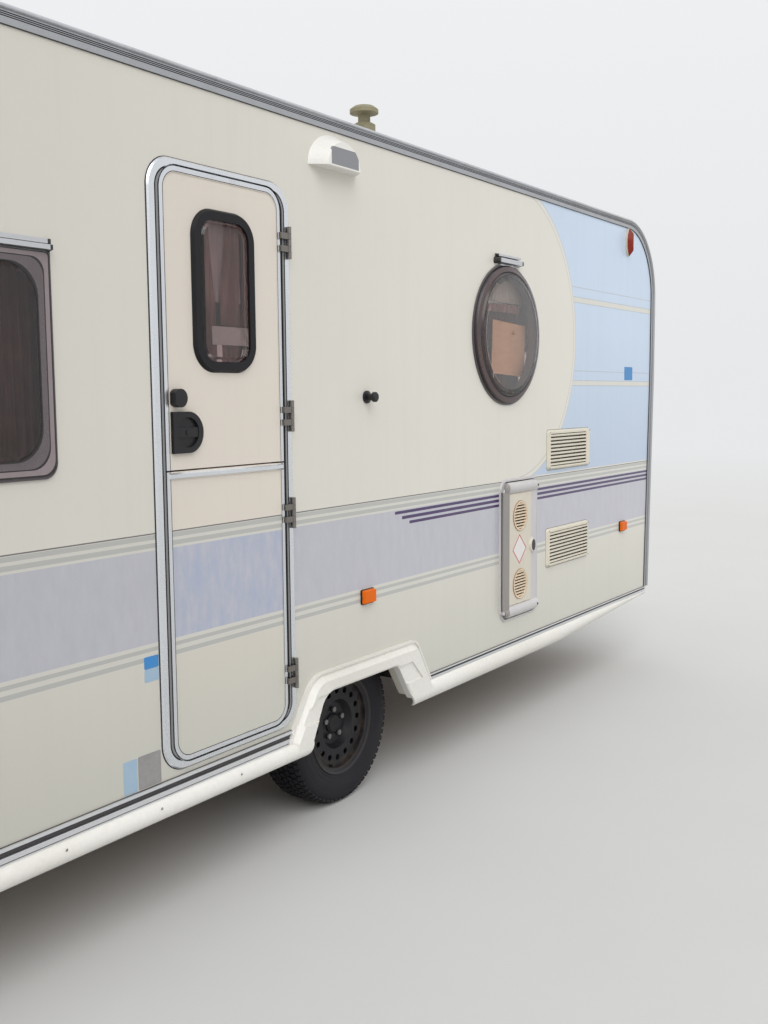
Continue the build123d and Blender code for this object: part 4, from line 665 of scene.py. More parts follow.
def rearLampFinish(name, k):
    material, tree, shader = newFinish(name, Coat_Weight=k["coat"], Coat_Roughness=k["coatRough"])
    x, y, z = axes(tree)
    color = mixColor(between(away(y), *k["whiteY"]), k["red"], k["white"])
    color = mixColor(between(away(y), *k["orangeY"]), color, k["orange"])
    ribs = calc("SINE", both(z, k["ribPitch"]))
    shade = ramp(ribs, -1.0, 1.0, 0.0, k["grooveShow"])
    feed(shader, Base_Color=mixColor(shade, color, k["groove"]),
         Roughness=mixNumber(noise(tree, k["roughScale"]), *k["rough"]))
    addBump(shader, ribs, k["ribDepth"])
    return material


finish["rearLamps"] = rearLampFinish("rearLamps", rearLampLook)

# Cloths: tone, second tone, pale streaks and how close the threads lie; on the curtains the pale streaks are
# painted light on the folds
cloths = {
    # the curtains' pale streaks are painted light on their folds
    "curtainCloth": ((0.360, 0.160, 0.128), (0.195, 0.082, 0.066), (0.86, 0.66, 0.60), 2600.0),
    # a darker copy of the curtain cloth, painted shade, for the porthole's curtains
    "curtainShade": ((0.130, 0.050, 0.042), (0.075, 0.030, 0.026), (0.26, 0.13, 0.11), 2600.0),
    "valanceCloth": ((0.70, 0.62, 0.56), (0.52, 0.45, 0.41), (0.80, 0.74, 0.70), 2600.0),
    # a pale sheet behind the door's curtains, painted light seen through the cabin
    "paintedLightCloth": ((0.80, 0.70, 0.72), (0.66, 0.57, 0.60), (0.90, 0.84, 0.86), 2600.0),
    "seatCloth": ((0.300, 0.215, 0.190), (0.200, 0.135, 0.125), (0.42, 0.33, 0.29), 1500.0),
}
weave = {
    "streaks": (0.50, 0.74, 1.0, (46, 46, 1.4), 4.0, 0.6), "streakShow": 0.55, "patches": (0.35, 0.7, 9.0),
    "threadShow": 0.25, "threadRough": (0.75, 0.9), "threadDepth": 0.0003, "sheen": 0.25,
}


def clothFinish(name, tone, other, pale, scale):
    w = weave
    material, tree, shader = newFinish(name, Sheen_Weight=w["sheen"])
    x, y, z = axes(tree)
    across = calc("ADD", x, y)
    threads = both(calc("SINE", both(across, scale)), calc("SINE", both(z, scale)))
    color = mixColor(patchy(tree, *w["patches"]), tone, other)
    # pale streaks; on the curtains they are painted light on the folds
    color = mixColor(both(patchy(tree, *w["streaks"]), w["streakShow"]), color, pale)
    feed(shader, Base_Color=mixColor(ramp(threads, -1, 1, 0.0, w["threadShow"]), color, other),
         Roughness=ramp(threads, -1, 1, *w["threadRough"]))
    addBump(shader, threads, w["threadDepth"])
    return material


for name, row in cloths.items():
    finish[name] = clothFinish(name, *row)
print("finishes made,", len(bpy.data.materials), "materials")

# Which finish each piece of the frame wears
wears = {
    "wallRight": ["wall_right"], "wallLeft": ["wall_left"], "wallEnd": ["wall_front", "wall_rear"],
    "roofSheet": ["roof"], "plywood": ["floor"], "underSeal": ["wheel_boxes"],
    "edgeRail": ["edge_rails"], "sillStrip": ["sill_strips"], "doorFrame": ["door_frame"],
    "doorLeaf": ["door_upper", "door_lower"],
    "whiteMoulding": ["arch_mouldings", "skirts", "rear_bumper"], "awningLight": ["awning_light"],
    "fridgeVents": ["fridge_vents"], "lockerLid": ["locker_lid"],
    "blackRubber": ["door_rubber", "jockey_wheel", "tyre_right", "tyre_left"],
    "tintedAcrylic": ["window_panes"], "paleAcrylic": ["door_pane"], "clearAcrylic": ["porthole_pane"],
    "windowFrame": ["window_frames"], "portholeFrame": ["porthole_frame"],
    "blackPlastic": ["door_handle", "door_catch", "grab_handles"],
    "greyCap": ["locker_frame", "cushions"], "greyPlastic": ["locker_box"],
    "markerLamps": ["marker_lamps"], "rearLamps": ["rear_lamps"],
    "agedCream": ["flue_cowl"], "smokeDome": ["roof_lights"],
    "galvanised": ["chassis_rail_left", "chassis_rail_right", "drawbar_left", "drawbar_right",
                   "cross_members", "steady_brackets", "steady_front_left", "steady_front_right",
                   "steady_rear_left", "steady_rear_right", "jockey_tube", "jockey_post", "jockey_fork"],
    "blackSteel": ["axle_tube", "trailing_arms", "coupling", "handbrake"],
    "drumHub": ["drum_left", "drum_right"], "wheelRim": ["rim_left", "rim_right"],
    "lightWood": ["cabinets"],
}
for name, members in wears.items():
    for member in members:
        slots = nodes[member].data.materials
        slots.clear()
        slots.append(finish[name])
unworn = sorted(set(nodes) - {member for members in wears.values() for member in members})
print("nodes with no finish:", unworn)


# Meshes: loops of points joined in turn, capped at the ends or closed on themselves
def loopFaces(count, loops, closed):
    faces = []
    for j in range(loops if closed else loops - 1):
        ahead = (j + 1) % loops
        for i in range(count):
            after = (i + 1) % count
            faces.append((j * count + i, j * count + after, ahead * count + after, ahead * count + i))
    if not closed:
        faces.append(tuple(reversed(range(count))))
        faces.append(tuple((loops - 1) * count + i for i in range(count)))
    return faces


def newMesh(name, verts, faces, finishNames, kinds=None, smooth=32.0):
    bm = bmesh.new()
    made = [bm.verts.new(v) for v in verts]
    for i, corners in enumerate(faces):
        face = bm.faces.new([made[k] for k in corners])
        face.material_index = kinds[i] if kinds else 0
    bmesh.ops.remove_doubles(bm, verts=bm.verts, dist=1e-6)
    bmesh.ops.recalc_face_normals(bm, faces=bm.faces)
    mesh = bpy.data.meshes.new(name)
    bm.to_mesh(mesh)
    bm.free()
    for finishName in finishNames:
        mesh.materials.append(finish[finishName])
    mesh.shade_smooth()
    mesh.set_sharp_from_angle(angle=math.radians(smooth))
    return mesh


def skin(name, loops, closed, finishNames, kinds=None, smooth=32.0):
    verts = [point for loop in loops for point in loop]
    return newMesh(name, verts, loopFaces(len(loops[0]), len(loops), closed), finishNames, kinds, smooth)


def addPiece(mesh, body):
    piece = addObject(mesh.name, mesh)
    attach(piece, body)
    return piece


def roundedLoop(centre, half, topRadius, lowRadius, steps=7):
    loop = []
    for across, rise, radius, start in ((1, 1, topRadius, 0), (-1, 1, topRadius, 90),
                                        (-1, -1, lowRadius, 180), (1, -1, lowRadius, 270)):
        u, v = centre[0] + across * (half[0] - radius), centre[1] + rise * (half[1] - radius)
        for i in range(steps + 1):
            angle = math.radians(start + 90 * i / steps)
            loop.append((u + radius * math.cos(angle), v + radius * math.sin(angle)))
    return loop


def ring(count, radius):
    turns = [2 * math.pi * i / count for i in range(count)]
    return [(radius * math.sin(turn), radius * math.cos(turn)) for turn in turns]


def turned(profile, centre, around):
    # profile of (radius, y) turned about a line across the caravan
    return [[(centre[0] + u, y, centre[1] + v) for u, v in ring(around, radius)] for radius, y in profile]


def asPlainMesh(piece):
    shown = piece.evaluated_get(bpy.context.evaluated_depsgraph_get())
    mesh = bpy.data.meshes.new_from_object(shown)
    piece.modifiers.clear()
    piece.data = mesh
    return piece


def modify(piece, tree, inputs):
    modifier = piece.modifiers.new(tree.name, "NODES")
    modifier.node_group = tree
    for item in tree.interface.items_tree:
        if item.in_out == "INPUT" and item.name in inputs:
            modifier[item.identifier] = inputs[item.name]
    return asPlainMesh(piece)


# Geometry Nodes: an empty tree with named number inputs, and the nodes that the trees share
def newTree(name, floats):
    tree = bpy.data.node_groups.new(name, "GeometryNodeTree")
    face = tree.interface
    face.new_socket("Geometry", in_out="INPUT", socket_type="NodeSocketGeometry")
    for label in floats:
        face.new_socket(label, in_out="INPUT", socket_type="NodeSocketFloat")
    face.new_socket("Geometry", in_out="OUTPUT", socket_type="NodeSocketGeometry")
    given = tree.nodes.new("NodeGroupInput").outputs
    return tree, given, tree.nodes.new("NodeGroupOutput")


def vector(tree, x=0.0, y=0.0, z=0.0):
    return addNode(tree, "ShaderNodeCombineXYZ", {0: x, 1: y, 2: z}).outputs[0]


def shape(tree, kind, **sockets):
    labels = {key.replace("_", " "): value for key, value in sockets.items()}
    return addNode(tree, "GeometryNode" + kind, labels).outputs[0]


def setAt(tree, points, instance, rotation):
    return shape(tree, "InstanceOnPoints", Points=points, Instance=instance, Rotation=rotation)


# Tyres: a turned carcass, and rows of tread blocks set round it
tyre = {
    "around": 120,
    "half": ((0.178, 0.067), (0.186, 0.0755), (0.1965, 0.0800), (0.2005, 0.0838), (0.2055, 0.0850),
             (0.2100, 0.0842), (0.2150, 0.0868), (0.2260, 0.0893), (0.2275, 0.0886), (0.2300, 0.0898),
             (0.2450, 0.0915), (0.2620, 0.0920), (0.2640, 0.0912), (0.2665, 0.0916), (0.2780, 0.0890),
             (0.2880, 0.0838), (0.2960, 0.0762), (0.3005, 0.0680), (0.3020, 0.0560), (0.3028, 0.0300)),
    "blocks": 68, "depth": 0.0085,
    "columns": (  # place across, top radius, length, width, skew and lean in degrees, turned on by a share
        (0.0, 0.3094, 0.0200, 0.0190, 14, 0, 0.0),
        (0.0260, 0.3092, 0.0215, 0.0200, -16, 2, 0.5), (-0.0260, 0.3092, 0.0215, 0.0200, -16, -2, 0.5),
        (0.0520, 0.3082, 0.0210, 0.0210, 12, 5, 0.2), (-0.0520, 0.3082, 0.0210, 0.0210, 12, -5, 0.2),
        (0.0735, 0.3030, 0.0195, 0.0180, 0, 24, 0.7), (-0.0735, 0.3030, 0.0195, 0.0180, 0, -24, 0.7)),
}


def treadTree(t):
    tree, given, result = newTree("treadBlocks", (
        "Blocks round", "Block depth", "Centre X", "Centre Y", "Centre Z"))
    count, depth = given["Blocks round"], given["Block depth"]
    step = calc("DIVIDE", 2 * math.pi, count)
    index = addNode(tree, "GeometryNodeInputIndex").outputs[0]
    centre = vector(tree, given["Centre X"], given["Centre Y"], given["Centre Z"])
    joined = addNode(tree, "GeometryNodeJoinGeometry")
    tree.links.new(given["Geometry"], joined.inputs[0])
    for place, top, length, width, skew, lean, share in t["columns"]:
        angle = both(calc("ADD", index, share), step)
        radius = calc("MULTIPLY_ADD", depth, -0.5, top)
        spot = vector(tree, both(calc("SINE", angle), radius), place, both(calc("COSINE", angle), radius))
        points = shape(tree, "Points", Count=count, Position=spot)
        block = shape(tree, "MeshCube", Size=vector(tree, length, width, depth))
        tilt = (math.radians(-lean), 0, math.radians(skew))
        block = shape(tree, "Transform", Geometry=block, Rotation=tilt)
        placed = setAt(tree, points, block, vector(tree, y=angle))
        moved = shape(tree, "Transform", Geometry=placed, Translation=centre)
        tree.links.new(shape(tree, "RealizeInstances", Geometry=moved), joined.inputs[0])
    painted = shape(tree, "SetMaterial", Geometry=joined.outputs[0], Material=finish["tyreRubber"])
    tree.links.new(painted, result.inputs[0])
    return tree


def makeTyres(t):
    tree = treadTree(t)
    profile = list(t["half"]) + [(radius, -y) for radius, y in reversed(t["half"])]
    for side, way in (("right", -1), ("left", 1)):
        middle = way * axle["tyreY"]
        loops = turned([(radius, middle + y) for radius, y in profile], (axle["x"], axle["z"]), t["around"])
        name = "tyre_" + side + "_treaded"
        piece = addObject(name, skin(name, loops, True, ["tyreRubber"]))
        modify(piece, tree, {"Blocks round": float(t["blocks"]), "Block depth": t["depth"],
                             "Centre X": axle["x"], "Centre Y": middle, "Centre Z": axle["z"]})
        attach(piece, "wheel_" + side)
        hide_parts("tyre_" + side)


makeTyres(tyre)
print("tyres made")

# Valves, on the outer side of each rim: where they stand, and their outline as (radius, height)
valve = {
    "reach": 0.163, "angle": 200, "from": 0.985, "around": 12,
    "outline": ((0.0075, 0.0), (0.0070, 0.008), (0.0045, 0.012), (0.0042, 0.024), (0.0052, 0.0245),
                (0.0052, 0.034)),
}


def makeValves(v):
    angle = math.radians(v["angle"])
    centre = (axle["x"] + v["reach"] * math.sin(angle), axle["z"] + v["reach"] * math.cos(angle))
    for side, way in (("right", -1), ("left", 1)):
        profile = [(radius, way * (v["from"] + out)) for radius, out in v["outline"]]
        mesh = skin("valve_" + side, turned(profile, centre, v["around"]), False, ["blackRubber"])
        addPiece(mesh, "wheel_" + side)


makeValves(valve)

# Window margins: bands round each domed pane, from its edge in to the dome
margin = {
    "out": 0.0127, "back": 0.0115, "edge": 0.009, "rail": 0.017, "flat": 0.052, "domeRadius": 0.095,
    "lowRadius": 0.037, "topRadius": 0.003, "smooth": 25.0,
    "finishes": ("windowTrim", "windowLine", "windowTrimDark"),
    "bands": (0.0, 0.08, 0.40, 0.48, 0.90, 1.0), "kinds": (1, 0, 1, 2, 1, 2, 1, 1),
    "side": (  # side, centre, width, sill, height
        (-1, -2.686, 0.900, 1.386, 0.612), (1, -2.686, 0.900, 1.386, 0.612), (1, -1.115, 0.720, 1.486, 0.512),
        (1, 1.015, 1.120, 1.386, 0.612)),
    "rear": (0.0, 1.250, 1.386, 0.600), "rearX": -3.475,
    "front": (0.0, 1.500, 1.290, 0.640), "frontX": 2.250,
}


def addMargin(name, m, row, place):
    centre, width, sill, height = row
    low, top = sill + m["edge"], sill + height - m["rail"]
    outer = ((centre, (low + top) / 2), (width / 2 - m["edge"], (top - low) / 2),
             m["topRadius"], m["lowRadius"])
    inner = ((centre, sill + height / 2), (width / 2 - m["flat"], height / 2 - m["flat"]),
             m["domeRadius"], m["domeRadius"])
    loops = []
    for share in m["bands"]:
        mixed = [[a + share * (b - a) for a, b in zip(outer[k], inner[k])] for k in (0, 1)]
        radii = [outer[k] + share * (inner[k] - outer[k]) for k in (2, 3)]
        loops.append([place(u, v, m["out"]) for u, v in roundedLoop(*mixed, *radii)])
    for size in (inner, outer):
        loops.append([place(u, v, m["back"]) for u, v in roundedLoop(*size)])
    kinds = [kind for kind in m["kinds"] for _ in loops[0]]
    addPiece(skin(name, loops, True, m["finishes"], kinds, m["smooth"]), "cabin")


def makeMargins(m):
    for i, (side, *row) in enumerate(m["side"]):
        addMargin("window_margin_side_%d" % i, m, row, lambda u, v, out: (u, side * (cabinHalf + out), v))
    addMargin("window_margin_rear", m, m["rear"], lambda u, v, out: (m["rearX"] - out, u, v))
    addMargin("window_margin_front", m, m["front"], lambda u, v, out: (m["frontX"] + out, u, v))


makeMargins(margin)

# Porthole: the stepped rim over its pane, its outline as (radius, height)
portRim = {
    "y": -1.1573, "around": 128, "finishes": ("portTrim", "windowLine", "portTrimDark"),
    "outline": ((0.3124, 0.0003), (0.3121, 0.0045), (0.3078, 0.0105), (0.3050, 0.0135), (0.2950, 0.0156),
                (0.2850, 0.0175), (0.2808, 0.0147), (0.2770, 0.0191), (0.2728, 0.0235), (0.2690, 0.0244),
                (0.2686, 0.0230), (0.2730, 0.0224), (0.2806, 0.0132), (0.2850, 0.0162), (0.3045, 0.0122),
                (0.3112, 0.0034)),
    "kinds": (1, 1, 0, 0, 0, 1, 2, 2, 1, 1, 1, 1, 1, 1, 1, 1),
}


def makePortRim(p):
    profile = [(radius, p["y"] - out) for radius, out in p["outline"]]
    loops = turned(profile, (portholeLook["x"], portholeLook["z"]), p["around"])
    kinds = [kind for kind in p["kinds"] for _ in range(p["around"])]
    addPiece(skin("porthole_rim_bands", loops, True, p["finishes"], kinds), "cabin")


makePortRim(portRim)
print("window margins made")

# Fasteners: screw heads set on the surfaces by one tree
fastenerTable = [  # name, body, slot, finish, head radius, list of (x, y, z, facing)
    ("screws_vents", "cabin", "bright_steel", "screwSteel", 0.0042, [
        (x, -1.1640, z, (0, -1, 0)) for x0, z0, x1, z1 in ventLook["boxes"]
        for x in (x0 + 0.011, x1 - 0.011) for z in (z0 + 0.011, z1 - 0.011)]),
    ("screws_locker", "gas_lid", "black_plastic", "darkScrew", 0.0060, [
        (0.6465, -1.1768, z, (0, -1, 0)) for z in (0.578, 1.165)]),
    ("screws_skirts", "cabin", "bright_steel", "screwSteel", 0.0045, [
        (x, side * 1.1835, 0.370, (0, side, 0)) for side in (-1, 1)
        for x in (-3.36, -3.00, -2.64, -2.28, -1.92, -1.56)]),
    ("screws_rails", "cabin", "bright_steel", "screwSteel", 0.0042, [
        (x, side * 1.1515, 0.3935, (0, side, 0)) for side in (-1, 1)
        for x in (-3.20, -2.80, -2.40, -2.00, 0.20, 0.60, 1.00, 1.40, 1.80)]),
    ("screws_lamps", "cabin", "black_plastic", "darkScrew", 0.0045, [
        (x, side * 1.1572, z, (0, side, 0)) for side in (-1, 1)
        for mid, z in ((-0.785, 0.837), (1.796, 0.842)) for x in (mid - 0.0395, mid + 0.0395)]),
    ("screws_bumper", "cabin", "bright_steel", "screwSteel", 0.0050, [
        (-3.5455, y, z, (-1, 0, 0)) for y in (-1.06, -0.36, 0.36, 1.06) for z in (0.4445, 0.5855)]),
]
screwHead = {  # shares of the head's radius and height
    "height": 0.45, "sides": 14, "top": 0.62, "slotSides": 6, "slotFoot": 0.36, "slotTop": 0.34,
    "slotDepth": 0.1, "slotAt": 0.95,
}


def screwTree(h, finishName):
    tree, given, result = newTree("screwHeads", ("Head radius", "Head height"))
    radius, height = given["Head radius"], given["Head height"]
    head = shape(tree, "MeshCone", Vertices=h["sides"], Radius_Bottom=radius,
                 Radius_Top=both(radius, h["top"]), Depth=height)
    # the socket on each head is a small prism painted dark, painted shade in the hole
    slot = shape(tree, "MeshCone", Vertices=h["slotSides"], Radius_Bottom=both(radius, h["slotFoot"]),
                 Radius_Top=both(radius, h["slotTop"]), Depth=both(height, h["slotDepth"]))
    slot = shape(tree, "Transform", Geometry=slot, Translation=vector(tree, z=both(height, h["slotAt"])))
    slot = addNode(tree, "GeometryNodeStoreNamedAttribute", {
        "Geometry": slot, "Name": "recessShade", "Value": True}, data_type="BOOLEAN", domain="FACE").outputs[0]
    joined = addNode(tree, "GeometryNodeJoinGeometry")
    for part in (head, slot):
        tree.links.new(part, joined.inputs[0])
    facing = addNode(tree, "GeometryNodeInputNamedAttribute", {"Name": "facing"}, data_type="FLOAT_VECTOR")
    rotation = addNode(tree, "FunctionNodeAlignRotationToVector", {"Vector": facing.outputs[0]}, axis="Z")
    points = shape(tree, "MeshToPoints", Mesh=given["Geometry"])
    placed = setAt(tree, points, joined.outputs[0], rotation.outputs[0])
    real = shape(tree, "RealizeInstances", Geometry=placed)
    painted = shape(tree, "SetMaterial", Geometry=real, Material=finish[finishName])
    recessShade = addNode(tree, "GeometryNodeInputNamedAttribute", {"Name": "recessShade"}, data_type="BOOLEAN")
    painted = shape(tree, "SetMaterial", Geometry=painted, Selection=recessShade.outputs[0],
                    Material=finish["windowLine"])
    tree.links.new(painted, result.inputs[0])
    return tree


def makeFasteners(table, h):
    for name, body, slotName, finishName, radius, rows in table:
        mesh = bpy.data.meshes.new(name)
        mesh.from_pydata([row[:3] for row in rows], [], [])
        facing = mesh.attributes.new("facing", "FLOAT_VECTOR", "POINT")
        for value, row in zip(facing.data, rows):
            value.vector = row[3]
        piece = addObject(name, mesh)
        modify(piece, screwTree(h, finishName), {"Head radius": radius, "Head height": radius * h["height"]})
        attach(piece, body)


makeFasteners(fastenerTable, screwHead)
print("fasteners made")

# Blank plates, labels and the card in the porthole
flatThings = [  # name, body, slot, finish, centre, half size, y, thickness, turn in degrees
    ("plate_by_door", "cabin", "grey_plastic", "greyPlastic",
     (-1.9335, 0.4890), (0.0455, 0.0500), -1.1514, 0.0016, 0),
    ("plate_pale_blue", "cabin", "cream_plastic", "paleBlueLabel",
     (-2.0110, 0.4880), (0.0270, 0.0500), -1.1508, 0.0010, 0),
    ("label_blue_by_door", "cabin", "cream_plastic", "blueLabel",
     (-1.9140, 0.8145), (0.0290, 0.0185), -1.1506, 0.0008, 0),
    ("label_pale_by_door", "cabin", "cream_plastic", "paleBlueLabel",
     (-1.9140, 0.7755), (0.0290, 0.0195), -1.1506, 0.0008, 0),
    ("label_blue_front", "cabin", "cream_plastic", "blueLabel",
     (1.8660, 1.7165), (0.0610, 0.0375), -1.1506, 0.0008, 0),
    ("card_in_porthole", "cabin", "cream_plastic", "cardboard",
     (0.4750, 1.8150), (0.1640, 0.1220), -1.1000, 0.0030, -3),
    ("label_door_pane", "upper_leaf", "cream_plastic", "paleLabel",
     (-1.5290, 1.7930), (0.0790, 0.0290), -1.1290, 0.0006, 0),
    ("label_door_line", "upper_leaf", "cream_plastic", "redLabel",
     (-1.5290, 1.8240), (0.0790, 0.0018), -1.1290, 0.0006, 0),
]
flatCorner = {"radius": 0.004, "steps": 4}


def makeFlatThings(table, corner):
    for name, body, slotName, finishName, centre, half, y, thick, turn in table:
        cosine, sine = math.cos(math.radians(turn)), math.sin(math.radians(turn))
        outline = roundedLoop((0, 0), half, corner["radius"], corner["radius"], corner["steps"])
        loops = [[(centre[0] + u * cosine - v * sine, place, centre[1] + u * sine + v * cosine)
                  for u, v in outline] for place in (y, y + thick)]
        addPiece(skin(name, loops, False, [finishName]), body)


makeFlatThings(flatThings, flatCorner)

# Curtains, gathered on rails behind the panes
curtains = {
    "rows": 16, "perFold": 8, "foldWidth": 0.034, "depthAtTop": 0.00495, "depthAtFoot": 0.009,
    "sway": 0.7, "swayTurns": 3.1,  # how far the folds wander on their way down
    "drawnIn": 1.6, "smooth": 80.0,
    "railRadius": 0.004, "railSides": 10,
    "rails": (  # name, body, run along x or y, its fixed place, from, to, height, cloth, its top and foot,
        # then each cloth's name, outer edge, inner edge at the top, and at the foot where that differs
        ("curtain_wire_door", "upper_leaf", "x", -1.1110, -1.690, -1.432, 2.168, "curtainCloth", 2.165, 1.700,
         ("curtain_door_rear", -1.684, -1.600, -1.566), ("curtain_door_front", -1.438, -1.512, -1.548)),
        ("curtain_rail_right", "cabin", "x", -1.0920, -3.160, -2.210, 2.034, "curtainCloth", 2.030, 1.345,
         ("curtain_right_rear", -3.130, -2.930), ("curtain_right_front", -2.242, -2.430)),
        ("curtain_rail_left_a", "cabin", "x", 1.0920, -3.160, -2.210, 2.034, "curtainCloth", 2.030, 1.345,
         ("curtain_left_a", -3.130, -2.930), ("curtain_left_b", -2.242, -2.430)),
        ("curtain_rail_left_b", "cabin", "x", 1.0920, -1.500, -0.730, 2.034, "curtainCloth", 2.030, 1.450,
         ("curtain_left_c", -1.470, -1.330), ("curtain_left_d", -0.760, -0.900)),
        ("curtain_rail_left_c", "cabin", "x", 1.0920, 0.430, 1.600, 2.034, "curtainCloth", 2.030, 1.345,
         ("curtain_left_e", 0.460, 0.680), ("curtain_left_f", 1.570, 1.350)),
        ("curtain_rail_rear", "cabin", "y", -3.4050, -0.660, 0.660, 2.024, "curtainCloth", 2.020, 1.345,
         ("curtain_rear_right", -0.620, -0.430), ("curtain_rear_left", 0.620, 0.430)),
        ("curtain_rail_front", "cabin", "y", 2.1020, -0.780, 0.780, 1.964, "curtainCloth", 1.960, 1.250,
         ("curtain_front_right", -0.745, -0.530), ("curtain_front_left", 0.745, 0.530)),
        # the porthole's curtains wear the darker copy, painted shade
        ("curtain_rail_porthole", "cabin", "x", -1.0600, 0.060, 0.650, 2.054, "curtainShade", 2.050, 1.560,
         ("curtain_porthole_rear", 0.070, 0.330), ("curtain_porthole_front", 0.640, 0.340)),
        ("valance_rail_porthole", "cabin", "x", -1.0800, 0.060, 0.650, 2.134, "valanceCloth", 2.130, 2.020,
         ("valance_porthole", 0.070, 0.640)),
        ("band_rail_porthole", "cabin", "x", -1.0850, 0.100, 0.610, 2.026, "curtainCloth", 2.022, 1.985,
         ("band_porthole", 0.110, 0.600)),
        # a pale sheet on the door, painted light seen through the cabin
        ("painted_light_rail_door", "upper_leaf", "x", -1.0980, -1.690, -1.432, 2.168, "paintedLightCloth", 2.165, 1.900,
         ("painted_light_sheet_door", -1.684, -1.438))),
}


def runPlace(run, along, fixed, z):
    return (along, fixed, z) if run == "x" else (fixed, along, z)


def makeRail(c, name, body, run, fixed, start, end, z):
    outline = ring(c["railSides"], c["railRadius"])
    loops = [[runPlace(run, along, fixed + side, z + rise) for rise, side in outline]
             for along in (start, end)]
    addPiece(skin(name, loops, False, ["brightMetal"]), body)


def hangCloth(c, number, name, rail, outer, innerTop, innerFoot):
    railName, body, run, fixed, _, _, _, finishName, top, foot = rail[:10]
    folds = max(2, round(abs(innerTop - outer) / c["foldWidth"]))
    columns, rows = folds * c["perFold"], c["rows"]
    grid = []
    for j in range(rows + 1):
        share = j / rows
        inner = innerTop + (innerFoot - innerTop) * min(1.0, c["drawnIn"] * share)
        depth = c["depthAtTop"] + (c["depthAtFoot"] - c["depthAtTop"]) * share
        sway = c["sway"] * math.sin(c["swayTurns"] * share + number)
        grid.append([])
        for i in range(columns + 1):
            along = outer + (inner - outer) * i / columns
            wave = depth * math.sin(2 * math.pi * folds * i / columns + sway)
            grid[j].append(runPlace(run, along, fixed + wave, top + (foot - top) * share))
    across = columns + 1
    faces = [(j * across + i, j * across + i + 1, (j + 1) * across + i + 1, (j + 1) * across + i)
             for j in range(rows) for i in range(columns)]
    mesh = newMesh(name, [point for line in grid for point in line], faces, [finishName], None, c["smooth"])
    piece = addPiece(mesh, body)


def makeCurtains(c):
    for rail in c["rails"]:
        makeRail(c, *rail[:7])
    hung = [(rail, cloth) for rail in c["rails"] for cloth in rail[10:]]
    for number, (rail, (name, outer, *inner)) in enumerate(hung):
        hangCloth(c, number, name, rail, outer, inner[0], inner[-1])


makeCurtains(curtains)
print("curtains made")


# Boxes with bevelled edges, for the cushions and the furniture
def bevelledBoxes(name, boxes, **bevel):
    bm = bmesh.new()
    for x0, x1, y0, y1, z0, z1 in boxes:
        low, high = (x0, y0, z0), (x1, y1, z1)
        for vert in bmesh.ops.create_cube(bm, size=1.0)["verts"]:
            vert.co = Vector([a + (part + 0.5) * (b - a) for part, a, b in zip(vert.co, low, high)])
    bmesh.ops.bevel(bm, geom=bm.edges[:], affect="EDGES", **bevel)
    mesh = bpy.data.meshes.new(name)
    bm.to_mesh(mesh)
    bm.free()
    return mesh


# Cushions: swollen by a short cloth run, in place of the plain solids
cushion = {
    "voxel": 0.022, "pressure": 4.0, "quality": 5, "frames": 20, "cap": 0.009, "fill": 0.75,
    "inset": 0.009, "footInset": 0.0027, "gap": 0.004, "bevel": dict(offset=0.034, segments=4, profile=0.6),
    "low": 0.740, "top": 0.860,
    "beds": (  # name, rear, front, right, left
        ("cushion_bed_a", -3.433, -2.728, -1.112, 0.0), ("cushion_bed_b", -3.433, -2.728, 0.0, 1.112),
        ("cushion_bed_c", -2.728, -2.030, -1.112, 0.0), ("cushion_bed_d", -2.728, -2.030, 0.0, 1.112),
        ("cushion_front_right", 1.558, 2.086, -0.550, 0.280),
        ("cushion_front_left", 1.558, 2.086, 0.280, 1.112),
        ("cushion_side", 0.471, 0.959, -0.056, 1.112)),
}


def swell(c, piece):
    still = [v.co.copy() for v in piece.data.vertices]
    cloth = piece.modifiers.new("swell", "CLOTH")
    cloth.settings.use_pressure = True
    cloth.settings.uniform_pressure_force = c["pressure"]
    cloth.settings.effector_weights.gravity = 0.0
    cloth.settings.quality = c["quality"]
    for step in range(1, c["frames"] + 1):
        bpy.context.scene.frame_set(step)
    asPlainMesh(piece)
    bpy.context.scene.frame_set(1)
    for vert, rest in zip(piece.data.vertices, still):
        moved = vert.co - rest
        if moved.length > c["cap"]:
            vert.co = rest + moved * (c["cap"] / moved.length)
        vert.co.z = max(vert.co.z, c["low"])


def makeCushions(c):
    side = c["gap"] / 2
    for name, x0, x1, y0, y1 in c["beds"]:
        box = (x0 + side + c["inset"], x1 - side - c["inset"], y0 + side + c["inset"], y1 - side - c["inset"],
               c["low"] + c["footInset"], c["top"] - c["inset"])
        piece = addObject(name, bevelledBoxes(name, [box], **c["bevel"]))
        remesh = piece.modifiers.new("evenFaces", "REMESH")
        remesh.mode, remesh.voxel_size = "VOXEL", c["voxel"]
        asPlainMesh(piece)
        swell(c, piece)
        smoother = piece.modifiers.new("smoother", "SUBSURF")
        smoother.levels = smoother.render_levels = 1
        asPlainMesh(piece)
        piece.data.materials.clear()
        piece.data.materials.append(finish["seatCloth"])
        piece.data.shade_smooth()
        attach(piece, "cabin")
        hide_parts("cushions")


makeCushions(cushion)
print("cushions made")

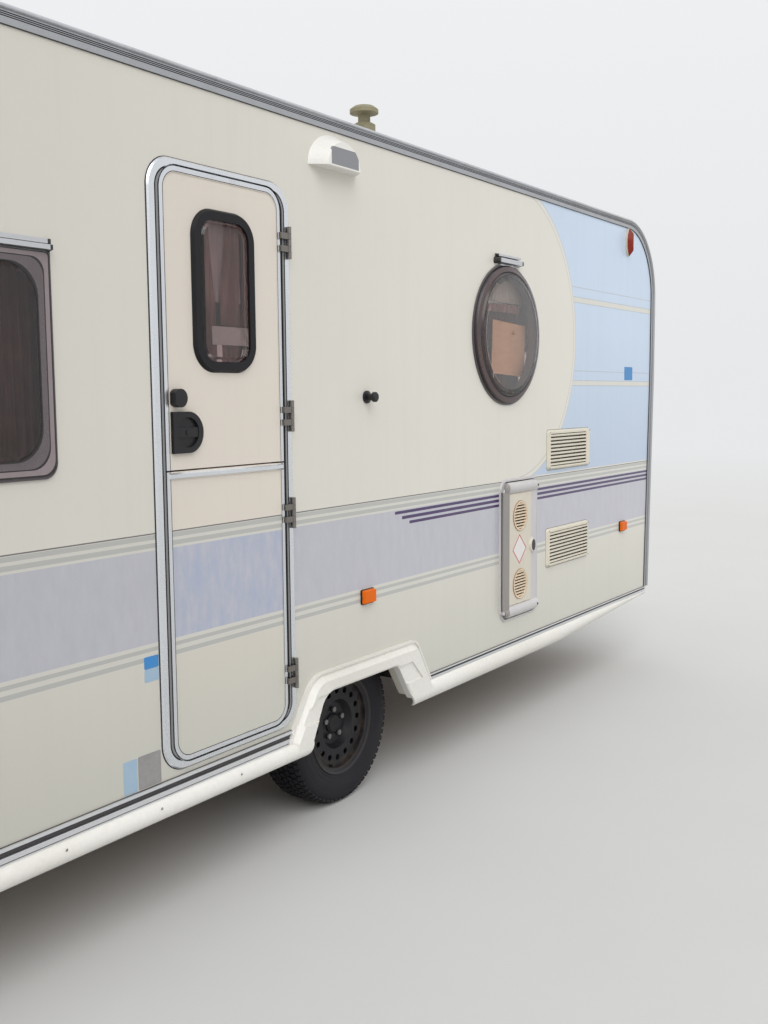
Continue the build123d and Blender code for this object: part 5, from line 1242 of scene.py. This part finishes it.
# Furniture: doors and drawers on the plain cabinets, and worktops
furniture = {
    "bevel": dict(offset=0.004, segments=2),
    "furniture_fronts": (  # x0, x1, y0, y1, z0, z1
        (-0.290, 0.030, 0.536, 0.557, 0.560, 1.120), (0.050, 0.380, 0.536, 0.557, 0.560, 1.120),
        (-0.290, 0.380, 0.536, 0.557, 1.150, 1.300),
        (0.800, 1.300, -0.557, -0.536, 0.560, 1.150), (0.800, 1.300, -0.557, -0.536, 1.180, 1.460),
        (-2.019, -1.999, -1.000, -0.020, 0.500, 0.720), (-2.019, -1.999, 0.020, 1.000, 0.500, 0.720)),
    "worktops": ((-0.325, 0.415, 0.540, 1.116, 1.351, 1.375), (0.760, 1.340, -1.116, -0.540, 1.501, 1.525)),
}


def makeFurniture(f):
    for name, finishName in (("furniture_fronts", "lightWood"), ("worktops", "worktop")):
        mesh = bevelledBoxes(name, f[name], **f["bevel"])
        mesh.materials.append(finish[finishName])
        addPiece(mesh, "cabin")


makeFurniture(furniture)
print("furniture fronts made")

# Floor that fades into the background, lamps and sky
stage = {
    "floorColor": (0.62, 0.62, 0.61), "skyLow": (0.80, 0.81, 0.82), "skyHigh": (0.93, 0.94, 0.95),
    "floorSize": 160.0, "floorRough": 0.85, "floorPatch": 1.2, "floorShade": 0.95,
    "fadeFrom": 9.0, "fadeTo": 26.0, "skyLight": 0.67, "skyRise": (0.02, 0.7),
}
lamps = {
    "keySun": dict(strength=1.58, spread=50, towards=(0.50, 0.62, -0.80)),
    "fillSun": dict(strength=0.45, spread=90, towards=(-0.75, -0.25, -0.55)),
    "backSun": dict(strength=0.40, spread=90, towards=(0.10, -0.85, -0.50)),
}


def makeFloor(s):
    half = s["floorSize"] / 2
    mesh = bpy.data.meshes.new("floorPlane")
    corners = [(-half, -half, 0), (half, -half, 0), (half, half, 0), (-half, half, 0)]
    mesh.from_pydata(corners, [], [(0, 1, 2, 3)])
    plane = addObject("floorPlane", mesh)
    material, tree, shader = newFinish("paleFloor", Roughness=s["floorRough"])
    darker = shaded(s["floorColor"], s["floorShade"])
    feed(shader, Base_Color=mixColor(noise(tree, s["floorPatch"]), s["floorColor"], darker))
    x, y, z = axes(tree)
    fade = both(addNode(tree, "ShaderNodeLightPath").outputs["Is Camera Ray"],
                ramp(reach(x, y), s["fadeFrom"], s["fadeTo"]))
    glow = addNode(tree, "ShaderNodeEmission", {"Color": rgba(s["skyLow"])}).outputs[0]
    mixed = addNode(tree, "ShaderNodeMixShader", {0: fade, 1: shader.outputs[0], 2: glow}).outputs[0]
    tree.links.new(mixed, tree.nodes["Material Output"].inputs[0])
    mesh.materials.append(material)


def makeSky(s):
    world = bpy.data.worlds.new("softSky")
    bpy.context.scene.world = world
    world.use_nodes = True
    tree = world.node_tree
    around = addNode(tree, "ShaderNodeTexCoord").outputs["Generated"]
    rise = addNode(tree, "ShaderNodeSeparateXYZ", {0: around})
    shown = mixColor(ramp(rise.outputs[2], *s["skyRise"]), s["skyLow"], s["skyHigh"])
    path = addNode(tree, "ShaderNodeLightPath").outputs
    seen = either(*(path[label] for label in ("Is Camera Ray", "Is Glossy Ray", "Is Transmission Ray")))
    background = tree.nodes["Background"]
    tree.links.new(mixColor(seen, (1, 1, 1), shown), background.inputs[0])
    tree.links.new(mixNumber(seen, s["skyLight"], 1.0), background.inputs[1])


def makeLamps(table):
    for name, lamp in table.items():
        data = bpy.data.lights.new(name, "SUN")
        data.energy = lamp["strength"]
        data.angle = math.radians(lamp["spread"])
        sun = addObject(name, data)
        sun.rotation_euler = Vector(lamp["towards"]).to_track_quat("-Z", "Y").to_euler()


makeFloor(stage)
makeSky(stage)
makeLamps(lamps)
print("stage and lamps set")
